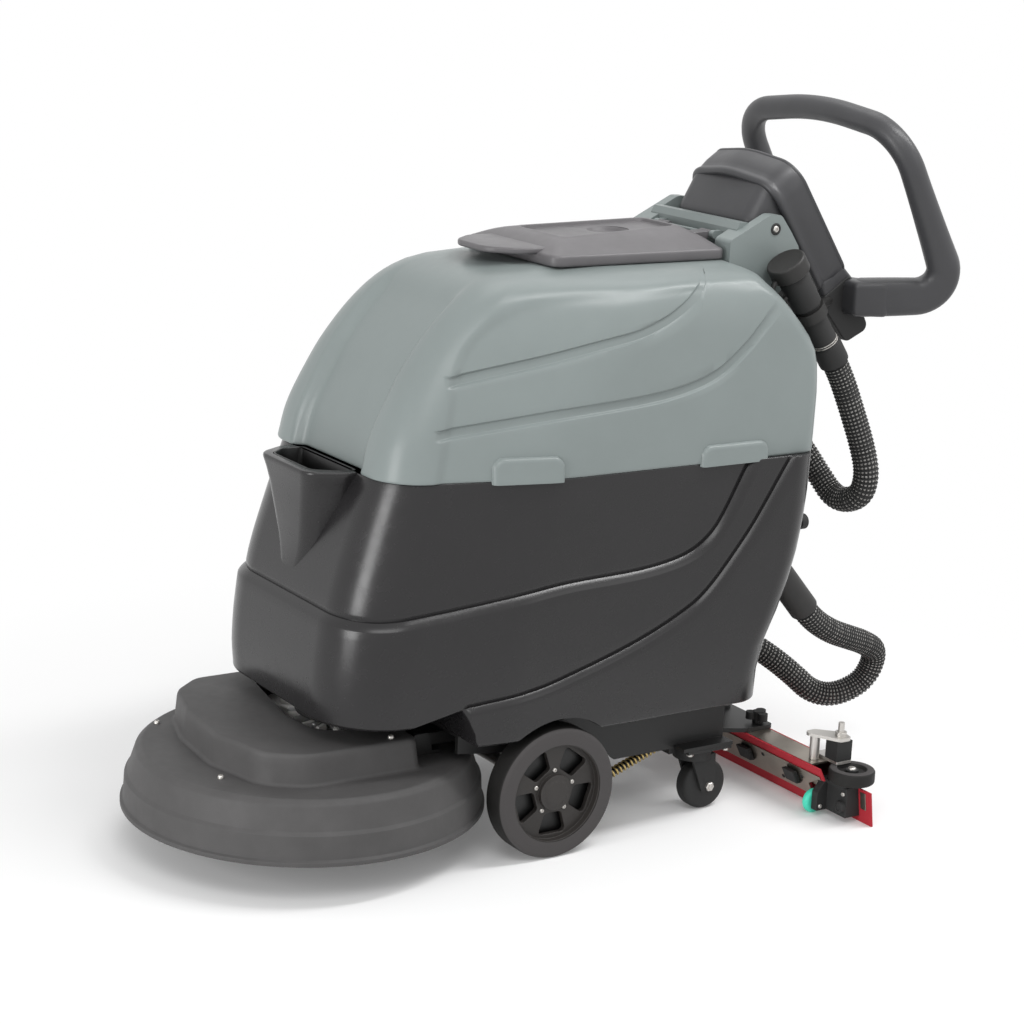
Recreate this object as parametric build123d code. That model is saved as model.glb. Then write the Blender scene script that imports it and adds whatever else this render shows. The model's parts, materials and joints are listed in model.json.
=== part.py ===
from build123d import *
import os
from math import cos, radians, sin, sqrt, tan

# Walk-behind floor scrubber, millimetres, +X forward, +Y to the machine's left, +Z up, floor at zero

# Running gear
WHEEL_RADIUS = 100.0
WHEEL_WIDTH = 43.0
WHEEL_FACE_Y = 242.0
WHEEL_INNER_Y = WHEEL_FACE_Y - WHEEL_WIDTH
AXLE_X = 99.0
AXLE_RADIUS = 10.0
TYRE_DEPTH = 18.0
RIM_DEPTH = 9.0
SPOKE_COUNT = 5
RUN_GAP = 0.05
FIT_GAP = 0.2

# Brush deck, drawn raised for travel
DECK_RADIUS = 268.6
DECK_WHEEL_GAP = 7.0
DECK_X = AXLE_X + WHEEL_RADIUS + sqrt((DECK_RADIUS + DECK_WHEEL_GAP) ** 2 - WHEEL_INNER_Y ** 2)
DECK_RIM_Z = 61.0
DECK_TOP_Z = 150.0
DECK_WALL = 7.0
PLATEAU_TOP_Z = 196.0
MOTOR_X = DECK_X - 61.0
MOTOR_WINDOW = 97.0
MOTOR_RADIUS = 70.0
MOTOR_TOP_Z = 330.0
GEAR_RADIUS = 84.0
GEAR_FLOOR_Z = 118.0
GEAR_TOP_Z = 190.0
BRUSH_RADIUS = 251.0
BRUSH_FOOT_Z = 55.0

# Chassis and deck lift
CHASSIS_SIDE_Y = 178.0
CHASSIS_PLATE = 8.0
CHASSIS_TOP_Z = 200.0
CHASSIS_REAR_X = -252.0
CHASSIS_FRONT_X = 235.0
CASTER_SEAT_Z = 109.0
LIFT_X = -20.0
LIFT_Z = 165.0
LIFT_PIN = 8.0
HANGER_X = 268.0
HANGER_Z = 170.0
HANGER_PIN = 7.0
ARM_Y0 = 112.0
ARM_Y1 = 122.0
CRANK_X = 10.0
CRANK_Z = 50.0
SPRING_Y = 150.0
SPRING_RADIUS = 12.0
SPRING_ANCHOR_X = -158.0

# Casters
CASTER_X = -202.0
CASTER_Y = 167.0
CASTER_RADIUS = 40.0
CASTER_WIDTH = 28.0
CASTER_TRAIL = 20.0

# Tanks
SEAM_Z = 574.0
TANK_FLOOR_Z = CHASSIS_TOP_Z
SHELL = 9.0
PANEL_STEP = 9.0
APRON_STEP = 15.0
ARCH_GAP = 17.0
TRAY_FRONT_X = 226.0
TRAY_REAR_X = -246.0
TRAY_HALF = 178.0
TRAY_FLOOR_Z = 240.0
TANK_TOP_Z = 853.0
UPPER_SHELL = 16.0
FRONT_RECESS = 10.0
RECESS_HALF = 105.0

# Lid and yoke
LID_FRONT_X = 69.0
LID_REAR_X = -240.0
LID_HALF = 122.0
LID_FOOT_Z = 854.0
LID_EDGE_Z = 871.0
LID_CROWN_Z = 889.0
LID_RISE = 8.0
TONGUE = 68.0
TRAY_DEPTH = 6.0
DISH_X = -106.0
DISH_RADIUS = 33.0
LID_PIN_X = -254.0
LID_PIN_Z = 884.0
LID_PIN = 3.0
YOKE_INNER = 108.0
YOKE_OUTER = 128.0
YOKE_FRONT_X = -243.0

# Console and handle
HOOD_FACE_LOW = (-498.0, 817.0)
HOOD_FACE_HIGH = (-375.0, 998.0)
HOOD_HALF = 110.0
HOOD_ARCH = 11.0
HOOD_DEPTH = 57.0
HOOD_POCKET = 24.0
PANEL_THICK = 4.0
HANDLE_RADIUS = 19.0
HANDLE_ROOT_RADIUS = 29.0
HANDLE_ELBOW_RADIUS = 24.0
HANDLE_HALF = 192.0
HANDLE_CORNER_Z = 1046.0
HANDLE_TOP_Z = 1070.0
BUTTON_RADIUS = 9.0
BUTTON_TRAVEL = 3.0

# Hoses
HOSE_RADIUS = 20.5
HOSE_WALL = 2.5
DRAIN_Y = 165.0
DRAIN_TOP = (-325.0, DRAIN_Y, 847.0)
DRAIN_FOOT = (-432.0, DRAIN_Y, 693.0)
CAP_RADIUS = 31.0
PIPE_SLEEVE = 24.0

# Squeegee
HINGE_X = -284.0
HINGE_Z = 97.0
HINGE_PIN = 5.0
BLADE_THICK = 4.0
BLADE_TOP_Z = 84.0
BODY_TOP_Z = 84.5
BODY_HALF = 276.0
FRONT_BLADE_HALF = 300.0
BLADE_HALF = 361.0
ROLLER_RADIUS = 36.0
ROLLER_Y = 317.0
ROLLER_X = -400.0
SUPPORT_RADIUS = 19.5
SUPPORT_X = -368.0
SUPPORT_Y = 268.0
KNOB_X = -385.0
KNOB_Y = 100.0
NECK_X = -376.0

os.makedirs("parts", exist_ok=True)
made = {}


def keep(name, *solids):
    """Write one named node, a single solid or a group of like solids."""
    shape = solids[0] if len(solids) == 1 else Compound(children=list(solids))
    made[name] = shape
    export_step(shape, f"parts/{name}.step")


def block(x0, x1, y0, y1, z0, z1):
    """Return a box between two corners."""
    return Pos((x0 + x1) / 2, (y0 + y1) / 2, (z0 + z1) / 2) * Box(x1 - x0, y1 - y0, z1 - z0)


def rod_y(x, z, y0, y1, radius):
    """Return a round bar along Y."""
    return Pos(x, (y0 + y1) / 2, z) * Rot(90, 0, 0) * Cylinder(radius, y1 - y0)


def rod_z(x, y, z0, z1, radius):
    """Return an upright round bar."""
    return Pos(x, y, (z0 + z1) / 2) * Cylinder(radius, z1 - z0)


def rod(start, end, radius, end_radius=None):
    """Return a round or tapered bar between two points."""
    line = Vector(*end) - Vector(*start)
    place = Plane(origin=start, z_dir=line)
    foot = (Align.CENTER, Align.CENTER, Align.MIN)
    if end_radius is None:
        return place * Cylinder(radius, line.length, align=foot)
    return place * Cone(radius, end_radius, line.length, align=foot)


def side_plate(points, y0, y1, radius=0.0):
    """Extrude an outline of (x, z) points from y0 to y1."""
    if radius:
        line = FilletPolyline(*points, radius=radius, close=True)
    else:
        line = Polyline(*points, close=True)
    face = make_face(Plane.XZ.offset(-y1) * line)
    return extrude(face, y1 - y0, dir=(0, -1, 0))


def cross_plate(points, x0, x1):
    """Extrude an outline of (y, z) points from x0 to x1."""
    return extrude(make_face(Plane.YZ.offset(x0) * Polyline(*points, close=True)), x1 - x0, dir=(1, 0, 0))


def plan_plate(points, z0, z1, radius=0.0):
    """Extrude an outline of (x, y) points from z0 to z1."""
    if radius:
        line = FilletPolyline(*points, radius=radius, close=True)
    else:
        line = Polyline(*points, close=True)
    return extrude(Pos(0, 0, z0) * make_face(line), z1 - z0, dir=(0, 0, 1))


def turned(points, radius=0.0):
    """Turn an outline of (radius, height) points about Z."""
    if radius:
        line = FilletPolyline(*points, radius=radius, close=True)
    else:
        line = Polyline(*points, close=True)
    return revolve(make_face(Plane.XZ * line), Axis.Z)


def mirrored(points):
    """Close a half outline of (x, y) points by its mirror image."""
    return list(points) + [(x, -y) for x, y in reversed(points)]


def other_side(shape):
    """Return the mirror image across the machine's centre plane."""
    return mirror(shape, about=Plane.XZ)


def solids_of(shape):
    """Return the solids of a shape as a list."""
    return list(shape.solids())


# Tank sections: height, front x, front corner half width, rear x, side half width
LOWER_LEVELS = [
    (186, 362, 172, -266, 223),
    (205, 395, 184, -265, 227),
    (232, 420, 190, -263, 230),
    (271, 434, 195, -267, 233),
    (331, 430, 196, -292, 235),
    (405, 419, 194, -317, 236),
    (490, 394, 188, -331, 237),
    (SEAM_Z, 366, 182, -334, 238),
]
UPPER_LEVELS = [
    (SEAM_Z, 364, 182, -354, 240),
    (625, 352, 176, -357, 238),
    (680, 326, 169, -360, 234),
    (730, 297, 160, -353, 230),
    (785, 249, 148, -304, 222),
    (823, 196, 130, -261, 203),
    (845, 140, 105, -238, 165),
    (TANK_TOP_Z, 95, 85, -225, 128),
]
SIDE_BEND = 300.0
REAR_CORNER = 35.0


def section(level, grow):
    """Return the plan outline of a tank at one height, offset by grow."""
    z, front, corner, rear, side = level
    bend = front - 250
    half = [(rear - grow, side + grow), (bend, side + grow), (front + grow, corner + grow)]
    nose = 0.55 * corner + grow
    tail = REAR_CORNER + grow
    line = FilletPolyline(*mirrored(half), radius=[tail, SIDE_BEND, nose, nose, SIDE_BEND, tail], close=True)
    return Pos(0, 0, z) * make_face(line)


def tank_form(levels, grow=0.0):
    """Loft a tank's outer form, offset by grow."""
    return loft([section(level, grow) for level in levels])


def below(points, floor_z):
    """Return the prism under a curve of (x, z) points, across the whole width."""
    curve = Spline(*points)
    first = points[0]
    last = points[-1]
    lines = curve + Polyline(last, (last[0], floor_z), (first[0], floor_z), first)
    return extrude(make_face(Plane.XZ.offset(-320) * lines), 640, dir=(0, -1, 0))


# Drive wheels
def make_hub():
    """Return a spoked hub with its axis on Z and its outer face up."""
    rim_out = WHEEL_RADIUS - TYRE_DEPTH
    rim_in = rim_out - RIM_DEPTH
    half = WHEEL_WIDTH / 2 - 1.5
    cap_top = 17.0
    hub = Cylinder(rim_out, 2 * half) - Cylinder(rim_in, 2 * half)
    hub += Pos(0, 0, 5) * Cylinder(rim_in, 9)
    hub += Pos(0, 0, (cap_top - WHEEL_WIDTH / 2) / 2) * Cylinder(27, cap_top + WHEEL_WIDTH / 2)
    hub += Pos(0, 0, cap_top + 1.5) * Cone(22, 16, 3)
    wide = radians(24)
    narrow = radians(20.5)
    inner = 36.0
    outer = rim_in - 3
    window = [
        (inner * cos(wide), -inner * sin(wide)),
        (outer * cos(narrow), -outer * sin(narrow)),
        (outer * cos(narrow), outer * sin(narrow)),
        (inner * cos(wide), inner * sin(wide)),
    ]
    cut = plan_plate(window, -30, 30, 6)
    for turn in range(SPOKE_COUNT):
        hub -= Rot(0, 0, 90 + turn * 360 / SPOKE_COUNT) * cut
    bore_end = WHEEL_FACE_Y - 6 - (WHEEL_FACE_Y - WHEEL_WIDTH / 2) + 0.3
    hub -= Pos(0, 0, (bore_end - 30) / 2) * Cylinder(AXLE_RADIUS + RUN_GAP, bore_end + 30)
    return hub


def make_tyre():
    """Return a solid tyre with its axis on Z."""
    inner = WHEEL_RADIUS - TYRE_DEPTH + 0.1
    half = WHEEL_WIDTH / 2
    outline = [(inner, -half), (WHEEL_RADIUS, -half), (WHEEL_RADIUS, half), (inner, half)]
    return turned(outline, [0, 8, 8, 0])


wheel_place = Pos(AXLE_X, WHEEL_FACE_Y - WHEEL_WIDTH / 2, WHEEL_RADIUS) * Rot(-90, 0, 0)
left_hub = wheel_place * make_hub()
left_tyre = wheel_place * make_tyre()
keep("left_hub", left_hub)
keep("left_tyre", left_tyre)
keep("right_hub", other_side(left_hub))
keep("right_tyre", other_side(left_tyre))
axle_half = WHEEL_FACE_Y - 6
axle = rod_y(AXLE_X, WHEEL_RADIUS, -axle_half, axle_half, AXLE_RADIUS)
collar = rod_y(AXLE_X, WHEEL_RADIUS, CHASSIS_SIDE_Y + FIT_GAP, WHEEL_INNER_Y - 0.3, AXLE_RADIUS + 5)
keep("drive_axle", axle + collar + other_side(collar))

# Casters
caster_axle_x = CASTER_X - CASTER_TRAIL
plate_half = 44.0
plate_z0 = CASTER_SEAT_Z - 6
king_pin = 8.0
plate = block(CASTER_X - plate_half - 6, CASTER_X + plate_half - 10, CASTER_Y - 36, CASTER_Y + 36, plate_z0, CASTER_SEAT_Z)
plate -= rod_z(CASTER_X, CASTER_Y, plate_z0 - 1, CASTER_SEAT_Z + 1, king_pin + RUN_GAP)
keep("caster_plates", plate, other_side(plate))
leg_y0 = CASTER_WIDTH / 2 + 3
leg_y1 = leg_y0 + 5
fork = rod_z(CASTER_X, CASTER_Y, plate_z0 - 16, plate_z0 - 0.3, 30)
fork += rod_z(CASTER_X, CASTER_Y, plate_z0 - 2, CASTER_SEAT_Z - 0.5, king_pin)
fork += block(CASTER_X - 30, CASTER_X + 16, CASTER_Y - leg_y1, CASTER_Y + leg_y1, plate_z0 - 16, plate_z0 - 10)
leg_outline = [
    (CASTER_X + 16, plate_z0 - 10),
    (CASTER_X - 30, plate_z0 - 10),
    (caster_axle_x - 12, CASTER_RADIUS - 10),
    (caster_axle_x + 12, CASTER_RADIUS - 10),
]
leg = side_plate(leg_outline, leg_y0, leg_y1, [3, 3, 8, 8])
fork += Pos(0, CASTER_Y, 0) * leg
fork += Pos(0, CASTER_Y, 0) * other_side(leg)
fork += rod_y(caster_axle_x, CASTER_RADIUS, CASTER_Y - leg_y1 - 4, CASTER_Y + leg_y1 + 4, 5)
keep("left_caster_fork", fork)
keep("right_caster_fork", other_side(fork))
tread = [
    (5 + RUN_GAP, -CASTER_WIDTH / 2 - 2),
    (12, -CASTER_WIDTH / 2 - 2),
    (CASTER_RADIUS - 8, -CASTER_WIDTH / 2),
    (CASTER_RADIUS, -CASTER_WIDTH / 2 + 5),
    (CASTER_RADIUS, CASTER_WIDTH / 2 - 5),
    (CASTER_RADIUS - 8, CASTER_WIDTH / 2),
    (12, CASTER_WIDTH / 2 + 2),
    (5 + RUN_GAP, CASTER_WIDTH / 2 + 2),
]
caster_wheel = Pos(caster_axle_x, CASTER_Y, CASTER_RADIUS) * Rot(-90, 0, 0) * turned(tread)
keep("left_caster_wheel", caster_wheel)
keep("right_caster_wheel", other_side(caster_wheel))

# Chassis: two side plates, cross members, lift shaft, spring anchor and squeegee lugs
side_outline = [
    (CHASSIS_REAR_X, CASTER_SEAT_Z),
    (-45, CASTER_SEAT_Z),
    (-8, 146),
    (AXLE_X - 42, 146),
    (AXLE_X - 28, WHEEL_RADIUS - 22),
    (AXLE_X + 28, WHEEL_RADIUS - 22),
    (AXLE_X + 42, 150),
    (CHASSIS_FRONT_X, 162),
    (CHASSIS_FRONT_X, CHASSIS_TOP_Z),
    (CHASSIS_REAR_X, CHASSIS_TOP_Z),
]
inner_y = CHASSIS_SIDE_Y - CHASSIS_PLATE
side = side_plate(side_outline, inner_y, CHASSIS_SIDE_Y)
side -= rod_y(AXLE_X, WHEEL_RADIUS, inner_y - 1, CHASSIS_SIDE_Y + 1, AXLE_RADIUS + RUN_GAP)
chassis = side + other_side(side)
rear_half = CASTER_Y + 37
chassis += block(CHASSIS_REAR_X, SPRING_ANCHOR_X, -rear_half, rear_half, CASTER_SEAT_Z, CASTER_SEAT_Z + 6)
chassis += block(CHASSIS_REAR_X, CHASSIS_REAR_X + 60, -inner_y, inner_y, CHASSIS_TOP_Z - 6, CHASSIS_TOP_Z)
chassis += block(CHASSIS_FRONT_X - 30, CHASSIS_FRONT_X, -inner_y, inner_y, CHASSIS_TOP_Z - 14, CHASSIS_TOP_Z)
chassis += rod_y(LIFT_X, LIFT_Z, -inner_y - 1, inner_y + 1, LIFT_PIN)
spring_rise = (CRANK_Z - 112) / (CRANK_X - SPRING_ANCHOR_X + 7)
spring_axis = Vector(-1, 0, -spring_rise).normalized()
spring_front = Vector(CRANK_X, SPRING_Y, CRANK_Z) + spring_axis * 34
anchor_reach = (SPRING_ANCHOR_X - spring_front.X) / spring_axis.X
spring_rear = spring_front + spring_axis * anchor_reach
anchor = block(SPRING_ANCHOR_X - 8, SPRING_ANCHOR_X, SPRING_Y - 16, SPRING_Y + 16, 95, CASTER_SEAT_Z + 18)
chassis += anchor
chassis += rod(spring_front, (spring_rear + spring_axis * 4), 5)
lug = side_plate(
    [
        (HINGE_X - 10, HINGE_Z - 10),
        (CHASSIS_REAR_X + 14, HINGE_Z - 10),
        (CHASSIS_REAR_X + 14, CASTER_SEAT_Z + 3),
        (CHASSIS_REAR_X - 2, CASTER_SEAT_Z + 6),
        (HINGE_X - 10, HINGE_Z + 10),
    ],
    62,
    70,
)
chassis += lug + other_side(lug)
chassis += rod_y(HINGE_X, HINGE_Z, -70, 70, HINGE_PIN)
keep("chassis_frame", chassis)

# Lift spring as a corrugated sleeve on its guide rod
coil_count = 8
spring_length = (spring_rear - spring_front).length - SPRING_RADIUS * abs(spring_rise) - 1
pitch = spring_length / coil_count
coil_line = [(5.6, 0)]
for turn in range(coil_count):
    coil_line.append((SPRING_RADIUS - 3, turn * pitch))
    coil_line.append((SPRING_RADIUS, (turn + 0.5) * pitch))
coil_line.append((SPRING_RADIUS - 3, spring_length))
coil_line.append((5.6, spring_length))
spring_place = Plane(origin=(spring_front + spring_axis * 0.2), z_dir=spring_axis)
keep("lift_spring", spring_place * turned(coil_line))

# Lift arms with cross bar, crank and striker
arm = side_plate(
    [(LIFT_X, LIFT_Z - 10), (HANGER_X, HANGER_Z - 9), (HANGER_X, HANGER_Z + 9), (LIFT_X, LIFT_Z + 10)], ARM_Y0, ARM_Y1
)
arm += rod_y(LIFT_X, LIFT_Z, ARM_Y0 - 4, ARM_Y1 + 6, 16)
arm += rod_y(HANGER_X, HANGER_Z, ARM_Y0, ARM_Y1, 13)
crank = side_plate(
    [(LIFT_X - 14, LIFT_Z), (LIFT_X + 14, LIFT_Z), (CRANK_X + 9, CRANK_Z - 6), (CRANK_X - 9, CRANK_Z - 6)],
    ARM_Y1 - 2,
    ARM_Y1 + 6,
    4,
)
striker_near = Vector(CRANK_X, SPRING_Y, CRANK_Z)
arms = arm + other_side(arm) + crank
arms += rod_y(CRANK_X, CRANK_Z, ARM_Y1, SPRING_Y + 10, 6)
arms += rod((striker_near - spring_axis * 5), (striker_near + spring_axis * 9), 14)
arms += rod_y(LIFT_X + 140, LIFT_Z + 2.5, -ARM_Y0 - 1, ARM_Y0 + 1, 8)
arms -= rod_y(LIFT_X, LIFT_Z, -160, 160, LIFT_PIN + RUN_GAP)
arms -= rod_y(HANGER_X, HANGER_Z, -160, 160, HANGER_PIN + RUN_GAP)
keep("lift_arms", arms)

# Deck cover: turned skirt with a hollow plateau and a round motor window
skirt = turned(
    [
        (0, DECK_TOP_Z),
        (238, DECK_TOP_Z),
        (246, 143),
        (258, 108),
        (262, 104),
        (264, 69),
        (DECK_RADIUS, 67),
        (DECK_RADIUS, DECK_RIM_Z),
        (257, DECK_RIM_Z),
        (255, 101),
        (240, 137),
        (232, DECK_TOP_Z - DECK_WALL),
        (0, DECK_TOP_Z - DECK_WALL),
    ]
)


def plateau_outline(grow, z):
    """Return the plan of the plateau, offset by grow, at one height."""
    left = [(297 - grow, 174 + grow), (478, 170 + grow), (528 + grow * 0.7, 132 + grow * 0.7), (552 + grow, 30)]
    right = [(543 + grow, -85), (518 + grow * 0.7, -172 - grow * 0.7), (468, -212 - grow), (297 - grow, -212 - grow)]
    line = FilletPolyline(*left, *right, radius=[14, 80, 60, 60, 60, 50, 40, 14], close=True)
    return Pos(0, 0, z) * make_face(line)


plateau = loft([plateau_outline(3, DECK_TOP_Z - 1), plateau_outline(-2, PLATEAU_TOP_Z)])
hollow = loft([plateau_outline(-5, DECK_TOP_Z - DECK_WALL - 1), plateau_outline(-9, PLATEAU_TOP_Z - 6)])
cover = Pos(DECK_X, 0, 0) * skirt + plateau - hollow
cover -= rod_z(MOTOR_X, 0, DECK_TOP_Z - 20, PLATEAU_TOP_Z + 10, MOTOR_WINDOW)
keep("deck_cover", cover)

# Gear housing: round casting with fins, and an arm to the brush axis under the cover
gear = rod_z(MOTOR_X, 0, GEAR_FLOOR_Z, GEAR_TOP_Z - 16, GEAR_RADIUS)
gear += rod_z(MOTOR_X, 0, GEAR_TOP_Z - 17, GEAR_TOP_Z, MOTOR_RADIUS - 22)
arm_top = DECK_TOP_Z - DECK_WALL - FIT_GAP
gear += rod_z(DECK_X, 0, GEAR_FLOOR_Z, arm_top, 62)
gear += block(MOTOR_X, DECK_X, -62, 62, GEAR_FLOOR_Z, arm_top)
wing_half = ARM_Y1 + 8
gear += block(MOTOR_X - 88, MOTOR_X - 12, -wing_half, wing_half, arm_top - 12, arm_top)
fin = block(MOTOR_X + 40, MOTOR_X + GEAR_RADIUS - 4, -3, 3, GEAR_TOP_Z - 18, GEAR_TOP_Z)
fin_count = 12
for turn in range(fin_count):
    gear += Pos(MOTOR_X, 0, 0) * Rot(0, 0, turn * 360 / fin_count) * Pos(-MOTOR_X, 0, 0) * fin
shaft_radius = 15.0
gear -= rod_z(DECK_X, 0, GEAR_FLOOR_Z - 1, GEAR_FLOOR_Z + 13, shaft_radius + RUN_GAP)
keep("gear_housing", gear)
motor = rod_z(MOTOR_X, 0, GEAR_TOP_Z + FIT_GAP, MOTOR_TOP_Z - 14, MOTOR_RADIUS)
motor += rod_z(MOTOR_X, 0, MOTOR_TOP_Z - 15, MOTOR_TOP_Z, MOTOR_RADIUS - 12)
keep("brush_motor", motor)

# Brush: hub with drive shaft, block and bristle ring
hub_foot = GEAR_FLOOR_Z - 10
brush_hub = rod_z(DECK_X, 0, hub_foot, GEAR_FLOOR_Z - 0.3, 45)
brush_hub += rod_z(DECK_X, 0, hub_foot, GEAR_FLOOR_Z + 12.5, shaft_radius)
keep("brush_hub", brush_hub)
block_foot = hub_foot - 16
brush_block = rod_z(DECK_X, 0, block_foot, hub_foot - FIT_GAP, BRUSH_RADIUS - 8)
brush_block -= rod_z(DECK_X, 0, block_foot - 1, hub_foot, 40)
keep("brush_block", brush_block)
ring = turned(
    [
        (95, block_foot - FIT_GAP),
        (90, BRUSH_FOOT_Z),
        (BRUSH_RADIUS, BRUSH_FOOT_Z),
        (BRUSH_RADIUS - 12, block_foot - FIT_GAP),
    ]
)
keep("bristles", Pos(DECK_X, 0, 0) * ring)

# Deck hanger: plate on the deck with two ears and pins for the lift arms
ear_y0 = ARM_Y1 + 0.3
hanger = block(HANGER_X - 32, HANGER_X + 22, -ear_y0 - 8, ear_y0 + 8, DECK_TOP_Z, DECK_TOP_Z + 5)
hanger -= rod_z(MOTOR_X, 0, DECK_TOP_Z - 1, DECK_TOP_Z + 6, MOTOR_WINDOW + 2)
ear = side_plate(
    [
        (HANGER_X - 20, DECK_TOP_Z + 4),
        (HANGER_X + 20, DECK_TOP_Z + 4),
        (HANGER_X + 12, HANGER_Z + 13),
        (HANGER_X - 12, HANGER_Z + 13),
    ],
    ear_y0,
    ear_y0 + 8,
    4,
)
ear += rod_y(HANGER_X, HANGER_Z, ARM_Y0 - 2, ear_y0 + 1, HANGER_PIN)
hanger_pair = solids_of(hanger + ear + other_side(ear))
keep("deck_hangers", *hanger_pair)

# Lower tank
lower_form = tank_form(LOWER_LEVELS)
waist = below([(470, 386), (391, 382), (300, 391), (113, 416), (-81, 430), (-160, 468), (-222, SEAM_Z)], 150)
crease = below([(262, 250), (105, 275), (-123, 360), (-215, 455), (-293, SEAM_Z)], 150)
all_below_seam = block(-420, -222, -320, 320, 150, SEAM_Z)
rear_below_seam = block(-420, -293, -320, 320, 150, SEAM_Z)
band = tank_form(LOWER_LEVELS, PANEL_STEP) & (waist + all_below_seam)
apron = tank_form(LOWER_LEVELS, APRON_STEP) & (crease + rear_below_seam)
front_edge = side_plate([(241, 205), (241, 100), (300, 100), (300, 260), (262, 250)], -320, 320)
apron -= front_edge
apron -= block(-420, 262, -320, 320, 150, 190)
floor_cut = block(-500, 500, -320, 320, 150, TANK_FLOOR_Z)
upper_body = lower_form + band - floor_cut
under_cut = side_plate([(262, 190), (262, 254), (394, 222), (440, 190)], -320, 320)
upper_body -= under_cut
apron -= block(CHASSIS_REAR_X - 1, 262, -APRON_STEP - 195, APRON_STEP + 195, 150, TANK_FLOOR_Z + 1)
body = upper_body + apron

# Filler boss in front
boss_top_half = [(330, 108), (388, 104), (430, 84)]
boss_low_half = [(330, 74), (382, 66), (413, 46)]
boss_top = Pos(0, 0, SEAM_Z) * make_face(FilletPolyline(*mirrored(boss_top_half), radius=[5, 20, 22, 22, 20, 5], close=True))
boss_low = Pos(0, 0, 405) * make_face(FilletPolyline(*mirrored(boss_low_half), radius=[5, 20, 22, 22, 20, 5], close=True))
body += loft([boss_low, boss_top])

# Hollow of the lower tank, with walls left round the motor pocket and the wheel arches
hollow_form = tank_form(LOWER_LEVELS, -SHELL) - block(-500, 500, -320, 320, 150, TANK_FLOOR_Z + SHELL)
hollow_form -= block(-500, 500, -320, 320, SEAM_Z - SHELL, SEAM_Z + 10)
hollow_form -= block(253, 500, -320, 320, 150, 258)
arch_radius = WHEEL_RADIUS + ARCH_GAP
arch_wall = arch_radius + SHELL
arch_inner = WHEEL_INNER_Y - 14
for flank in (1, -1):
    near = flank * (arch_inner - SHELL)
    far = flank * 320
    hollow_form -= rod_y(AXLE_X, WHEEL_RADIUS, min(near, far), max(near, far), arch_wall)
pocket_radius = MOTOR_RADIUS + 22
pocket_top = MOTOR_TOP_Z + 15
hollow_form -= rod_z(MOTOR_X, 0, 150, pocket_top + SHELL, pocket_radius + SHELL)
body -= hollow_form
body -= rod_z(MOTOR_X, 0, 150, pocket_top, pocket_radius)
for flank in (1, -1):
    near = flank * arch_inner
    far = flank * 320
    body -= rod_y(AXLE_X, WHEEL_RADIUS, min(near, far), max(near, far), arch_radius)

# Battery well in the tank's top, and the filler opening
body -= block(TRAY_REAR_X - 2, TRAY_FRONT_X + 2, -TRAY_HALF - 2, TRAY_HALF + 2, SEAM_Z - SHELL - 5, SEAM_Z + 1)
body -= block(TRAY_REAR_X - 12, TRAY_FRONT_X + 12, -TRAY_HALF - 12, TRAY_HALF + 12, SEAM_Z - 4, SEAM_Z + 1)
cup_front = 418.0
cup_rear = 358.0
cup_half = 82.0
cup_foot = 515.0
body -= plan_plate(mirrored([(cup_rear, cup_half), (cup_front, cup_half)]), cup_foot, SEAM_Z + 1, 22)

# Suction outlet through the rear wall
suction_axis = Vector(-0.664, 0, -0.748).normalized()
suction_root = Vector(-322, 150, 405)
suction_tip = suction_root + suction_axis * 150
cuff_radius = 23.5
body -= rod((suction_root - suction_axis * 26), suction_tip, cuff_radius + FIT_GAP)
valve_y = 205.0
valve_z = 456.0
body -= rod((-380, valve_y, valve_z), (-322, valve_y, valve_z), 5 + RUN_GAP)
main_tank = max(solids_of(body), key=lambda solid: solid.volume)
keep("solution_tank", main_tank)

cuff = rod((suction_root - suction_axis * 22), suction_tip, cuff_radius)
cuff -= rod((suction_root - suction_axis * 40), (suction_tip + suction_axis), HOSE_RADIUS - HOSE_WALL)
keep("suction_cuff", cuff)
valve_knob = rod((-362, valve_y, valve_z), (-349, valve_y, valve_z), 12)
valve_knob += rod((-351, valve_y, valve_z), (-324, valve_y, valve_z), 5)
keep("drain_valve_knob", valve_knob)

# Filler cup: open liner with a ledge
cup = plan_plate(mirrored([(cup_rear + FIT_GAP, cup_half - FIT_GAP), (cup_front - FIT_GAP, cup_half - FIT_GAP)]), cup_foot + 10, SEAM_Z - 5, 22)
cup -= plan_plate(mirrored([(cup_rear + 3, cup_half - 3), (cup_front - 3, cup_half - 3)]), cup_foot + 13, SEAM_Z, 19)
cup += block(cup_rear + 1, cup_rear + 18, -cup_half + 14, cup_half - 14, SEAM_Z - 38, SEAM_Z - 34)
keep("filler_cup", cup)

# Battery tray, batteries and suction motor
tray = block(TRAY_REAR_X, TRAY_FRONT_X, -TRAY_HALF, TRAY_HALF, TRAY_FLOOR_Z, SEAM_Z)
flange = 10.0
tray += block(TRAY_REAR_X - flange, TRAY_FRONT_X + flange, -TRAY_HALF - flange, TRAY_HALF + flange, SEAM_Z - 4, SEAM_Z)
tray -= block(TRAY_REAR_X + 4, TRAY_FRONT_X - 4, -TRAY_HALF + 4, TRAY_HALF - 4, TRAY_FLOOR_Z + 4, SEAM_Z + 1)
keep("battery_tray", tray)
tray_inside_z = TRAY_FLOOR_Z + 4
battery_front = TRAY_FRONT_X - 6
battery_height = 240.0
battery = block(battery_front - 330, battery_front, 2, 172, tray_inside_z, tray_inside_z + battery_height)
battery += rod_z(battery_front - 40, 45, tray_inside_z + battery_height - 1, tray_inside_z + battery_height + 14, 8)
battery += rod_z(battery_front - 40, 130, tray_inside_z + battery_height - 1, tray_inside_z + battery_height + 14, 8)
keep("batteries", battery, other_side(battery))
vac_x = TRAY_REAR_X + 4 + 68
vacuum = rod_z(vac_x, 0, tray_inside_z, tray_inside_z + 90, 64)
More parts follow.
